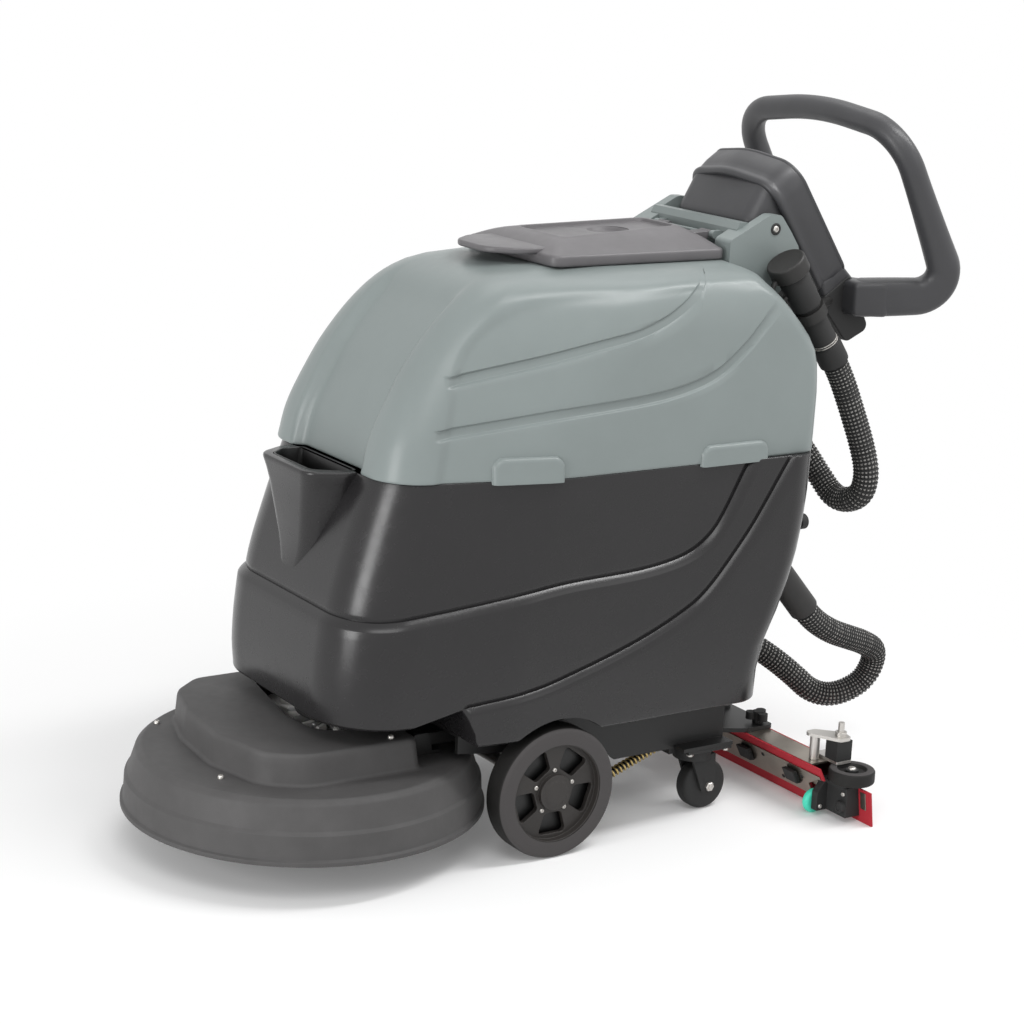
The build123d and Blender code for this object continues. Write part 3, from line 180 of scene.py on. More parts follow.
def solid(
    name: str, points: Sequence[Point], faces: Sequence[Sequence[int]], crease: float = 35.0
) -> Piece:
    """Make a mesh piece with smooth shading that breaks at sharp edges.

    Args:
        name: Name of the piece.
        points: Corners in millimetres.
        faces: Corner numbers of each face.
        crease: Edges that turn by more degrees than this stay sharp.

    Returns:
        The new piece, linked to the scene.
    """
    mesh = bpy.data.meshes.new(name)
    mesh.from_pydata([tuple(value * MM for value in point) for point in points], [], list(faces))
    work = bmesh.new()
    work.from_mesh(mesh)
    bmesh.ops.remove_doubles(work, verts=work.verts, dist=1e-6)
    bmesh.ops.recalc_face_normals(work, faces=work.faces)
    work.to_mesh(mesh)
    work.free()
    piece = bpy.data.objects.new(name, mesh)
    bpy.context.scene.collection.objects.link(piece)
    shade(piece, crease)
    return piece


def shade(piece: Piece, crease: float) -> None:
    """Shade a piece smooth, with edges over crease degrees kept sharp."""
    piece.data.shade_smooth()
    piece.data.set_sharp_from_angle(angle=math.radians(crease))


def bake(piece: Piece) -> None:
    """Apply a piece's modifiers to its mesh.

    Args:
        piece: Piece whose modifiers are used up.
    """
    graph = bpy.context.evaluated_depsgraph_get()
    mesh = bpy.data.meshes.new_from_object(piece.evaluated_get(graph))
    piece.modifiers.clear()
    piece.data = mesh


def joined(name: str, pieces: Sequence[Piece], crease: float = 35.0) -> Piece:
    """Join pieces into one mesh.

    Args:
        name: Name of the joined piece.
        pieces: Pieces that are used up.
        crease: Angle over which edges stay sharp.

    Returns:
        The joined piece.
    """
    work = bmesh.new()
    for piece in pieces:
        work.from_mesh(piece.data)
        bpy.data.objects.remove(piece)
    mesh = bpy.data.meshes.new(name)
    work.to_mesh(mesh)
    work.free()
    whole = bpy.data.objects.new(name, mesh)
    bpy.context.scene.collection.objects.link(whole)
    shade(whole, crease)
    return whole


def ring_faces(rings: int, count: int, closed: bool = True) -> list[tuple[int, ...]]:
    """Return the quads between rings of equal count.

    Args:
        rings: How many rings there are.
        count: Points in each ring.
        closed: Whether each ring closes on itself.

    Returns:
        The faces as corner numbers.
    """
    faces = []
    last = count if closed else count - 1
    for row in range(rings - 1):
        low = row * count
        high = low + count
        for step in range(last):
            ahead = (step + 1) % count
            faces.append((low + step, low + ahead, high + ahead, high + step))
    return faces


def loft(
    name: str, rings: Sequence[Sequence[Point]], crease: float = 35.0, strips: bool = False
) -> Piece:
    """Skin a row of closed rings and cap both ends.

    Args:
        name: Name of the piece.
        rings: Rings of equal count.
        crease: Angle over which edges stay sharp.
        strips: Cap with strips across the centre plane, for ends that aren't flat.

    Returns:
        The closed piece.
    """
    count = len(rings[0])
    points = [point for ring in rings for point in ring]
    faces = ring_faces(len(rings), count)
    for first in (0, (len(rings) - 1) * count):
        if strips:
            for step in range(count // 2 - 1):
                far = count - 1 - step
                faces.append((first + step, first + step + 1, first + far - 1, first + far))
        else:
            faces.append(tuple(range(first, first + count)))
    return solid(name, points, faces, crease)


def lathe(
    name: str, outline: Sequence[Point], place: Matrix, steps: int = 64, crease: float = 35.0
) -> Piece:
    """Turn a closed outline about an axis.

    Args:
        name: Name of the piece.
        outline: Points of radius and height.
        place: Where the axis stands, in millimetres.
        steps: Facets round the axis.
        crease: Angle over which edges stay sharp.

    Returns:
        The turned piece.
    """
    rings = []
    for step in range(steps):
        turn = 2 * math.pi * step / steps
        cosine = math.cos(turn)
        sine = math.sin(turn)
        ring = [Vector((radius * cosine, radius * sine, height)) for radius, height in outline]
        rings.append([place @ spot for spot in ring])
    count = len(outline)
    faces = ring_faces(steps, count)
    for step in range(count):
        ahead = (step + 1) % count
        faces.append(((steps - 1) * count + step, (steps - 1) * count + ahead, ahead, step))
    return solid(name, [point for ring in rings for point in ring], faces, crease)


def rounded(
    points: Sequence[Point], radii: Sequence[float], steps: int = 8, closed: bool = True
) -> list[Vector]:
    """Round the corners of an outline with arcs.

    Args:
        points: Corners of the outline, flat or in space.
        radii: One radius for each corner.
        steps: Facets of each arc.
        closed: Whether the outline closes on itself.

    Returns:
        The rounded outline.
    """
    corners = [Vector(point) for point in points]
    line: list[Vector] = []
    for index, here in enumerate(corners):
        inner = closed or 0 < index < len(corners) - 1
        if not inner or radii[index] == 0:
            line.append(here)
            continue
        back = (corners[index - 1] - here).normalized()
        ahead = (corners[(index + 1) % len(corners)] - here).normalized()
        half = back.angle(ahead) / 2
        reach = radii[index] / math.tan(half)
        middle = here + (back + ahead).normalized() * (radii[index] / math.sin(half))
        start = here + back * reach - middle
        end = here + ahead * reach - middle
        arc = start.angle(end)
        for step in range(steps + 1):
            part = step / steps
            weight_a = math.sin((1 - part) * arc) / math.sin(arc)
            weight_b = math.sin(part * arc) / math.sin(arc)
            line.append(middle + start * weight_a + end * weight_b)
    return line


def sweep(
    name: str,
    path: Sequence[Vector],
    section: Callable[[float], list[Point]],
    up: Vector,
    crease: float = 50.0,
) -> Piece:
    """Carry a section along a path without twisting it.

    Args:
        name: Name of the piece.
        path: Points of the path.
        section: Gives the section's points, across and up, for a share of the path.
        up: Direction that the section's second axis keeps to at the start.
        crease: Angle over which edges stay sharp.

    Returns:
        The swept piece with both ends capped.
    """
    travelled = [0.0]
    for near, far in zip(path, path[1:]):
        travelled.append(travelled[-1] + (far - near).length)
    rings = []
    side_up = up
    for index, here in enumerate(path):
        ahead = path[min(index + 1, len(path) - 1)]
        back = path[max(index - 1, 0)]
        heading = (ahead - back).normalized()
        side_up = (side_up - heading * side_up.dot(heading)).normalized()
        across = heading.cross(side_up)
        outline = section(travelled[index] / travelled[-1])
        rings.append([here + across * along + side_up * rise for along, rise in outline])
    return loft(name, rings, crease)


def oval(
    half_width: float, half_height: float, power: float = 2.0, count: int = 32
) -> list[tuple[float, float]]:
    """Return a rounded section, an ellipse at power 2 and squarer above it.

    Args:
        half_width: Half of the section's width.
        half_height: Half of its height.
        power: How square it is.
        count: Points round it.

    Returns:
        The section's points, across and up.
    """
    line = []
    for step in range(count):
        turn = 2 * math.pi * step / count
        across = math.copysign(abs(math.cos(turn)) ** (2 / power), math.cos(turn))
        rise = math.copysign(abs(math.sin(turn)) ** (2 / power), math.sin(turn))
        line.append((half_width * across, half_height * rise))
    return line


def soften(piece: Piece, edge: float, segments: int = 3, angle: float = 28.0) -> None:
    """Round a piece's sharp edges.

    Args:
        piece: Piece to round.
        edge: Radius of the edges.
        segments: Facets across each edge.
        angle: Edges that turn by more degrees than this are rounded.
    """
    bevel = piece.modifiers.new("edges", "BEVEL")
    bevel.width = edge * MM
    bevel.segments = segments
    bevel.limit_method = "ANGLE"
    bevel.angle_limit = math.radians(angle)
    bake(piece)
    shade(piece, 48)
    weights = piece.modifiers.new("flats", "WEIGHTED_NORMAL")
    weights.keep_sharp = True
    bake(piece)


def copied(node: str, name: str, edge: float, segments: int = 3) -> Piece:
    """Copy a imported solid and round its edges.

    Args:
        node: Node to copy.
        name: Name of the copy.
        edge: Radius of the edges.
        segments: Facets across each edge.

    Returns:
        The rounded copy.
    """
    source = frame["nodes"][node].data
    points = [corner.co / MM for corner in source.vertices]
    faces = [tuple(face.vertices) for face in source.polygons]
    piece = solid(name, points, faces, 30)
    work = bmesh.new()
    work.from_mesh(piece.data)
    bmesh.ops.dissolve_limit(work, angle_limit=math.radians(0.6), verts=work.verts, edges=work.edges)
    work.to_mesh(piece.data)
    work.free()
    soften(piece, edge, segments)
    return piece


def cut(piece: Piece, *tools: Piece) -> None:
    """Cut tools out of a piece and use them up.

    Args:
        piece: Piece that is cut.
        *tools: Closed pieces that are taken away.
    """
    for tool in tools:
        carve = piece.modifiers.new("cut", "BOOLEAN")
        carve.operation = "DIFFERENCE"
        carve.solver = "EXACT"
        carve.object = tool
        bake(piece)
        bpy.data.objects.remove(tool)


def on_axis(origin: Point, axis: Point) -> Matrix:
    """Return the place of a lathe axis that starts at origin and points along axis."""
    turn = Vector((0, 0, 1)).rotation_difference(Vector(axis))
    return Matrix.Translation(Vector(origin)) @ turn.to_matrix().to_4x4()


def mirrored(name: str, piece: Piece) -> Piece:
    """Copy a piece to the other side of the machine.

    Args:
        name: Name of the copy.
        piece: Piece to mirror.

    Returns:
        The copy.
    """
    points = [(corner.co.x / MM, -corner.co.y / MM, corner.co.z / MM) for corner in piece.data.vertices]
    faces = [tuple(face.vertices) for face in piece.data.polygons]
    return solid(name, points, faces, 40)


def screw_head(name: str, foot: Point, axis: Point, radius: float, height: float, socket: float) -> Piece:
    """Make a domed screw head with a round socket.

    Args:
        name: Name of the piece.
        foot: Where the head sits.
        axis: Direction it faces.
        radius: Radius of the head.
        height: Height of the head.
        socket: Radius of the socket, or 0 for none.

    Returns:
        The head.
    """
    outline = [(0, -1.0), (radius, -1.0), (radius, height * 0.35), (radius * 0.9, height * 0.75)]
    if socket:
        outline += [(radius * 0.7, height), (socket, height)]
        outline += [(socket * 0.9, height * 0.35), (0, height * 0.35)]
    else:
        outline += [(radius * 0.6, height * 0.95), (0, height)]
    return lathe(name, outline, on_axis(foot, axis), 20, 40)


def hex_head(name: str, foot: Point, axis: Point, radius: float, height: float) -> Piece:
    """Make a hexagon nut or bolt head with a chamfered top."""
    outline = [(0, 0), (radius, 0), (radius, height * 0.8), (radius * 0.86, height), (0, height)]
    return lathe(name, outline, on_axis(foot, axis), 6, 25)


def inset(outline: Sequence[Point], amount: float) -> list[tuple[float, float]]:
    """Move every side of a flat outline inwards.

    Args:
        outline: Corners of the outline.
        amount: How far each side moves in.

    Returns:
        The corners of the smaller outline.
    """
    corners = [Vector(point) for point in outline]
    area = sum(near.x * far.y - far.x * near.y for near, far in zip(corners, corners[1:] + corners[:1]))
    turn = 1.0 if area > 0 else -1.0
    result = []
    for index, here in enumerate(corners):
        back = (here - corners[index - 1]).normalized()
        ahead = (corners[(index + 1) % len(corners)] - here).normalized()
        normal_back = Vector((-back.y, back.x)) * turn
        normal_ahead = Vector((-ahead.y, ahead.x)) * turn
        bisector = normal_back + normal_ahead
        moved = here + bisector * (amount / (1 + normal_back.dot(normal_ahead)))
        result.append((moved.x, moved.y))
    return result


def pillow(
    name: str,
    outline: Sequence[Point],
    radii: Sequence[float],
    span: tuple[float, float],
    edge: float,
    place: Callable[[float, float, float], Point],
) -> Piece:
    """Make a thick plate with rounded corners and rounded edges.

    Args:
        name: Name of the piece.
        outline: Corners of the plate's plan.
        radii: Radius of each corner.
        span: Where the plate starts and ends across its plane.
        edge: Radius of its edges.
        place: Turns plan point and level into a point of the machine.

    Returns:
        The plate.
    """
    low, high = span
    turns = [math.pi / 2 * step / 5 for step in range(6)]
    steps = [(edge * (1 - math.sin(turn)), low + edge * (1 - math.cos(turn))) for turn in turns]
    steps += [(edge * (1 - math.cos(turn)), high - edge * (1 - math.sin(turn))) for turn in turns]
    rings = []
    for amount, level in steps:
        line = rounded(inset(outline, amount), [max(radius - amount, 0.6) for radius in radii], 7)
        rings.append([place(point.x, point.y, level) for point in line])
    return loft(name, rings, 40)


def on_plan(first: float, second: float, level: float) -> Point:
    """Place a plan of x and y at a height."""
    return (first, second, level)


def on_flank(first: float, second: float, level: float) -> Point:
    """Place a side view of x and z at a y."""
    return (first, level, second)


def both_sides(half: list[tuple[float, float]]) -> list[tuple[float, float]]:
    """Return half an outline with its mirror image behind it."""
    return half + [(x, -y) for x, y in reversed(half)]


def flat_ring(plan: Sequence[Vector], height: float) -> list[Point]:
    """Lay a flat plan at a height."""
    return [(point.x, point.y, height) for point in plan]


def prism(name: str, plan: Sequence[Vector], low: float, high: float) -> Piece:
    """Make a straight block from a plan between two heights."""
    return loft(name, [flat_ring(plan, height) for height in (low, high)])


def path_length(path: Sequence[Vector]) -> float:
    """Return the length of a line of points."""
    return sum((far - near).length for near, far in zip(path, path[1:]))


def evenly(points: Sequence[Vector], pace: float) -> list[Vector]:
    """Space points at an even pace along a line of points.

    Args:
        points: The line.
        pace: Distance between neighbours.

    Returns:
        The spaced points, with the line's own ends.
    """
    line = [points[0]]
    left = pace
    for near, far in zip(points, points[1:]):
        run = (far - near).length
        gone = left
        while gone < run:
            line.append(near.lerp(far, gone / run))
            gone += pace
        left = gone - run
    line.append(points[-1])
    return line


# Finishes


MOTTLE_SCALE = 14.0
MOTTLE_DETAIL = 6.0
MOTTLE_BLUR = 0.62
MOTTLE_DARK = 0.32
MOTTLE_LIGHT = 0.68
GLOSS_SCALE = 55.0
GLOSS_DETAIL = 4.0
GLOSS_SPREAD = 0.07
LEAST_ROUGHNESS = 0.04
GRAIN_HEIGHT = 0.0004
BRUSHED_STRETCH = (1.0, 0.03, 1.0)


class Grain(Enum):
    """Kinds of surface detail."""

    MOULDED = "moulded"
    SATIN = "satin"
    RUBBER = "rubber"
    BRUSHED = "brushed"
    CAST = "cast"


def tone(level: float) -> float:
    """Return the linear value of a display level from 0 to 255."""
    share = level / 255
    return share / 12.92 if share <= 0.04045 else ((share + 0.055) / 1.055) ** 2.4


@dataclass(frozen=True)
class Finish:
    """One surface finish, with grain, mottling and uneven gloss."""

    name: str
    colour: tuple[float, float, float]
    roughness: float
    grain: Grain = Grain.MOULDED
    metallic: float = 0.0
    specular: float = 0.5
    cells: float = 900.0
    relief: float = 0.12
    mottle: float = 0.08

    def shades(self) -> tuple[tuple[float, ...], tuple[float, ...]]:
        """Mix the shades of the mottling.

        Returns:
            The darker and the lighter shade.
        """
        base = [tone(level) for level in self.colour]
        dark = tuple(value * (1 - self.mottle) for value in base) + (1.0,)
        light = tuple(min(1.0, value * (1 + self.mottle)) for value in base) + (1.0,)
        return dark, light

    def material(self) -> bpy.types.Material:
        """Build the node material, or find it where it is built already.

        Returns:
            The material.
        """
        known = bpy.data.materials.get(self.name)
        if known:
            return known
        material = bpy.data.materials.new(self.name)
        material.use_nodes = True
        nodes = material.node_tree.nodes
        links = material.node_tree.links
        shader = nodes["Principled BSDF"]
        shader.inputs["Metallic"].default_value = self.metallic
        shader.inputs["Specular IOR Level"].default_value = self.specular
        place = nodes.new("ShaderNodeTexCoord")
        broad = nodes.new("ShaderNodeTexNoise")
        broad.inputs["Scale"].default_value = MOTTLE_SCALE
        broad.inputs["Detail"].default_value = MOTTLE_DETAIL
        broad.inputs["Roughness"].default_value = MOTTLE_BLUR
        links.new(place.outputs["Object"], broad.inputs["Vector"])
        ramp = nodes.new("ShaderNodeValToRGB")
        dark, light = ramp.color_ramp.elements
        dark.position = MOTTLE_DARK
        light.position = MOTTLE_LIGHT
        dark.color, light.color = self.shades()
        links.new(broad.outputs["Fac"], ramp.inputs["Fac"])
        links.new(ramp.outputs["Color"], shader.inputs["Base Color"])
        fine = self.fine_grain(nodes, links, place)
        spread = nodes.new("ShaderNodeMapRange")
        spread.inputs["To Min"].default_value = max(LEAST_ROUGHNESS, self.roughness - GLOSS_SPREAD)
        spread.inputs["To Max"].default_value = min(1.0, self.roughness + GLOSS_SPREAD)
        middle = nodes.new("ShaderNodeTexNoise")
        middle.inputs["Scale"].default_value = GLOSS_SCALE
        middle.inputs["Detail"].default_value = GLOSS_DETAIL
        links.new(place.outputs["Object"], middle.inputs["Vector"])
        links.new(middle.outputs["Fac"], spread.inputs["Value"])
        links.new(spread.outputs["Result"], shader.inputs["Roughness"])
        bump = nodes.new("ShaderNodeBump")
        bump.inputs["Strength"].default_value = self.relief
        bump.inputs["Distance"].default_value = GRAIN_HEIGHT
        links.new(fine, bump.inputs["Height"])
        links.new(bump.outputs["Normal"], shader.inputs["Normal"])
        return material

    def fine_grain(
        self, nodes: bpy.types.Nodes, links: bpy.types.NodeLinks, place: bpy.types.Node
    ) -> bpy.types.NodeSocket:
        """Build the height of the fine surface detail.

        Args:
            nodes: The material's nodes.
            links: The material's links.
            place: Texture coordinates.

        Returns:
            The socket of the height.
        """
        if self.grain is Grain.CAST:
            cells = nodes.new("ShaderNodeTexVoronoi")
            cells.inputs["Scale"].default_value = self.cells
            links.new(place.outputs["Object"], cells.inputs["Vector"])
            return cells.outputs["Distance"]
        fine = nodes.new("ShaderNodeTexNoise")
        fine.inputs["Scale"].default_value = self.cells
        fine.inputs["Detail"].default_value = 2.0 if self.grain is Grain.MOULDED else 5.0
        source = place.outputs["Object"]
        if self.grain is Grain.BRUSHED:
            stretch = nodes.new("ShaderNodeMapping")
            stretch.inputs["Scale"].default_value = BRUSHED_STRETCH
            links.new(source, stretch.inputs["Vector"])
            source = stretch.outputs["Vector"]
        links.new(source, fine.inputs["Vector"])
        return fine.outputs["Fac"]


class Finishes:
    """The machine's finishes by name."""

    dark_tank = Finish(
        "dark_tank_plastic", (31, 30, 31), 0.26, specular=0.42, cells=700, relief=0.03, mottle=0.05
    )
    grey_tank = Finish(
        "grey_tank_plastic", (124, 132, 131), 0.32, specular=0.3, cells=700, relief=0.04, mottle=0.02
    )
    lid_grey = Finish("lid_plastic", (94, 92, 94), 0.42, specular=0.45, cells=800, relief=0.08)
    deck_grey = Finish(
        "deck_plastic", (74, 73, 73), 0.58, specular=0.3, cells=520, relief=0.30, mottle=0.10
    )
    handle_grey = Finish(
        "handle_plastic", (60, 60, 62), 0.4, specular=0.4, cells=650, relief=0.05, mottle=0.05
    )
    black_plastic = Finish(
        "black_plastic", (22, 21, 20), 0.36, specular=0.3, cells=900, relief=0.06, mottle=0.15
    )
    matt_black = Finish("matt_black_plastic", (27, 26, 25), 0.55, cells=700, relief=0.2, mottle=0.15)
    hub_black = Finish("hub_plastic", (44, 41, 39), 0.48, specular=0.4, cells=600, relief=0.18, mottle=0.12)
    tyre = Finish(
        "tyre_rubber", (68, 65, 65), 0.62, Grain.RUBBER, specular=0.3, cells=480, relief=0.25, mottle=0.1
    )
    tread = Finish(
        "tread_rubber", (26, 25, 24), 0.66, Grain.RUBBER, specular=0.3, cells=400, relief=0.4, mottle=0.2
    )
    seal = Finish("seal_rubber", (30, 30, 30), 0.7, Grain.RUBBER, cells=500, relief=0.2)
    red = Finish("red_rubber", (176, 26, 38), 0.44, Grain.RUBBER, cells=500, relief=0.12, mottle=0.12)
    turquoise = Finish("turquoise_plastic", (70, 214, 184), 0.4, cells=700, relief=0.08, mottle=0.05)
    black_steel = Finish("black_steel", (26, 25, 24), 0.42, Grain.CAST, cells=900, relief=0.08, mottle=0.2)
    bright_steel = Finish(
        "bright_steel", (176, 174, 170), 0.28, Grain.BRUSHED,
        metallic=1.0, cells=1500, relief=0.05, mottle=0.12,
    )
    stainless = Finish(
        "stainless_sheet", (158, 150, 140), 0.34, Grain.BRUSHED,
        metallic=1.0, cells=1800, relief=0.06, mottle=0.12,
    )
    cast = Finish(
        "cast_alloy", (150, 148, 145), 0.46, Grain.CAST, metallic=0.9, cells=500, relief=0.35, mottle=0.15
    )
    # Near-white, almost matt alloy: painted light that lifts the casting sitting in the tank's shadow.
    gear = Finish(
        "gear_alloy", (236, 234, 230), 0.4, Grain.CAST, metallic=0.1, cells=420, relief=0.4, mottle=0.2
    )
    spring = Finish(
        "spring_steel", (214, 209, 196), 0.3, Grain.BRUSHED,
        metallic=0.9, cells=1500, relief=0.05, mottle=0.12,
    )
    hose = Finish("hose_black", (26, 25, 24), 0.2, specular=0.8, cells=700, relief=0.06, mottle=0.2)
    # Light grey painted highlight: dashes of lamp reflection painted on the hose's rib crests.
    hose_crest = Finish(
        "hose_crest", (132, 130, 126), 0.22, specular=0.8, cells=700, relief=0.04, mottle=0.25
    )
    # Near-black painted shade: the hollow of the filler cup and the disc behind the hub windows.
    near_black_shade = Finish("cup_liner", (9, 9, 9), 0.4, cells=900, relief=0.06, mottle=0.15)
    bristle = Finish("bristle_nylon", (60, 62, 66), 0.5, Grain.SATIN, cells=900, relief=0.1, mottle=0.2)
    battery = Finish("battery_case", (52, 56, 62), 0.5, cells=500, relief=0.2, mottle=0.1)
    motor = Finish("motor_case", (92, 92, 94), 0.45, Grain.CAST, cells=700, relief=0.15, mottle=0.1)
    button = Finish("button_face", (40, 42, 46), 0.4, cells=900, relief=0.1)


def set_in_place(piece: Piece, body: str, finish: Finish, slot: str, *nodes: str) -> Piece:
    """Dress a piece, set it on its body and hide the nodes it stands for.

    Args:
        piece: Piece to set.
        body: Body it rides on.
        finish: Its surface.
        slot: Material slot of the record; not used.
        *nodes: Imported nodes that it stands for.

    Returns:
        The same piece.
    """
    piece.data.materials.clear()
    piece.data.materials.append(finish.material())
    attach(piece, body)
    if nodes:
        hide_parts(*nodes)
    LOG.info("%s on %s", piece.name, body)
    return piece


def dress(finish: Finish, *nodes: str) -> None:
    """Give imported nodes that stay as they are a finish.

    Args:
        finish: The surface.
        *nodes: Nodes to dress.
    """
    for node in nodes:
        for holder in frame["nodes"][node].material_slots:
            holder.material = finish.material()
        LOG.info("%s keeps its solid", node)


def rounded_copy(node: str, body: str, finish: Finish, slot: str, edge: float, segments: int = 2) -> Piece:
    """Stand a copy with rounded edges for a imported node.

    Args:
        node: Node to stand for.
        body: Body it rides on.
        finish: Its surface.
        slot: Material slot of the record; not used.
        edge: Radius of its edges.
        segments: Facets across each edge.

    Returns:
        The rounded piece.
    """
    return set_in_place(copied(node, "soft_" + node, edge, segments), body, finish, slot, node)


# Stage


@dataclass
class Stage:
    """Camera, floor and soft studio light."""

    eye: tuple[float, float, float] = (1985.7, 2948.6, 1355.4)
    right: tuple[float, float, float] = (-0.84012264, 0.54067338, 0.04320001)
    up: tuple[float, float, float] = (-0.09758827, -0.22902195, 0.96851715)
    back: tuple[float, float, float] = (0.53354519, 0.80945738, 0.24516991)
    lens: float = 84.375
    sensor: float = 36.0
    ambient: float = 0.5
    floor_half: float = 9000.0
    floor_drop: float = 0.3
    floor_shade: float = 0.93
    floor_glow: float = 0.12
    fade_start: float = 0.55
    fade_end: float = 1.35

    def build(self) -> None:
        """Build the whole stage."""
        bpy.context.scene.view_settings.view_transform = "Standard"
        self.camera()
        self.world()
        self.floor()
        self.lamp("key", (1.5, 2.2, 3.1), (2.2, 1.4), 36)
        self.lamp("nose", (3.3, 0.75, 0.9), (1.0, 1.9), 52)
        self.lamp("edge", (-1.7, 0.95, 2.9), (2.8, 0.4), 60, (-1.7, 0.24, 0.4))
        self.lamp("top", (-0.7, -0.8, 3.2), (1.6, 1.6), 14)
        self.lamp("fill", (-1.9, 2.9, 2.1), (2.0, 2.0), 10)

    def camera(self) -> None:
        """Stand the camera where the picture was taken from."""
        data = bpy.data.cameras.new("camera")
        data.lens = self.lens
        data.sensor_width = self.sensor
        camera = bpy.data.objects.new("camera", data)
        bpy.context.scene.collection.objects.link(camera)
        turn = Matrix((self.right, self.up, self.back)).transposed()
        camera.matrix_world = Matrix.Translation(Vector(self.eye) * MM) @ turn.to_4x4()
        bpy.context.scene.camera = camera

    def backdrop_rays(self, nodes: bpy.types.Nodes, links: bpy.types.NodeLinks) -> bpy.types.NodeSocket:
        """Tell the rays that see the backdrop straight, in a reflection or through glass.

        Args:
            nodes: Nodes of the material or the world.
            links: Its links.

        Returns:
            The socket that is 1 for these rays.
        """
        rays = nodes.new("ShaderNodeLightPath")
        both = nodes.new("ShaderNodeMath")
        both.operation = "MAXIMUM"
        links.new(rays.outputs["Is Camera Ray"], both.inputs[0])
        links.new(rays.outputs["Is Glossy Ray"], both.inputs[1])
        every = nodes.new("ShaderNodeMath")
        every.operation = "MAXIMUM"
        links.new(both.outputs[0], every.inputs[0])
        links.new(rays.outputs["Is Transmission Ray"], every.inputs[1])
        return every.outputs[0]

    def world(self) -> None:
        """Light the scene from all round, before a white backdrop."""
        world = bpy.data.worlds.new("studio")
        bpy.context.scene.world = world
        world.use_nodes = True
        nodes = world.node_tree.nodes
        links = world.node_tree.links
        strength = nodes.new("ShaderNodeMapRange")
        strength.inputs["To Min"].default_value = self.ambient
        strength.inputs["To Max"].default_value = 1.0
        links.new(self.backdrop_rays(nodes, links), strength.inputs["Value"])
        background = nodes["Background"]
        background.inputs["Color"].default_value = (1.0, 1.0, 1.0, 1.0)
        links.new(strength.outputs["Result"], background.inputs["Strength"])

    def floor(self) -> None:
        """Lay a white floor that fades into the backdrop."""
        plan = [(-1, -1), (1, -1), (1, 1), (-1, 1)]
        corners = [(x * self.floor_half, y * self.floor_half, -self.floor_drop) for x, y in plan]
        floor = solid("floor", corners, [(0, 1, 2, 3)])
        material = bpy.data.materials.new("floor_white")
        material.use_nodes = True
        nodes = material.node_tree.nodes
        links = material.node_tree.links
        nodes.remove(nodes["Principled BSDF"])
        matt = nodes.new("ShaderNodeBsdfDiffuse")
        matt.inputs["Color"].default_value = (self.floor_shade, self.floor_shade, self.floor_shade, 1.0)
        glow = nodes.new("ShaderNodeEmission")
        place = nodes.new("ShaderNodeTexCoord")
        reach = nodes.new("ShaderNodeVectorMath")
        reach.operation = "LENGTH"
        links.new(place.outputs["Object"], reach.inputs[0])
        fade = nodes.new("ShaderNodeMapRange")
        fade.interpolation_type = "SMOOTHSTEP"
        fade.inputs["From Min"].default_value = self.fade_start
        fade.inputs["From Max"].default_value = self.fade_end
        fade.inputs["To Min"].default_value = self.floor_glow
        links.new(reach.outputs["Value"], fade.inputs["Value"])
        mix = nodes.new("ShaderNodeMixShader")
        links.new(fade.outputs["Result"], mix.inputs["Fac"])
        links.new(matt.outputs["BSDF"], mix.inputs[1])
        links.new(glow.outputs["Emission"], mix.inputs[2])
        links.new(mix.outputs["Shader"], nodes["Material Output"].inputs["Surface"])
        floor.data.materials.append(material)

    def lamp(
        self,
        name: str,
        place: Point,
        size: tuple[float, float],
        power: float,
        target: Point = (0.0, 0.0, 0.45),
    ) -> None:
        """Hang a soft lamp.

        Args:
            name: Name of the lamp.
            place: Where it hangs, in metres.
            size: Width and height in metres.
            power: Power in watts.
            target: What it looks at, in metres.
        """
        data = bpy.data.lights.new(name, "AREA")
        data.shape = "RECTANGLE"
        data.size, data.size_y = size
        data.energy = power
        lamp = bpy.data.objects.new(name, data)
        bpy.context.scene.collection.objects.link(lamp)
        aim = (Vector(target) - Vector(place)).to_track_quat("-Z", "Y")
        lamp.matrix_world = Matrix.Translation(Vector(place)) @ aim.to_matrix().to_4x4()


# Hoses


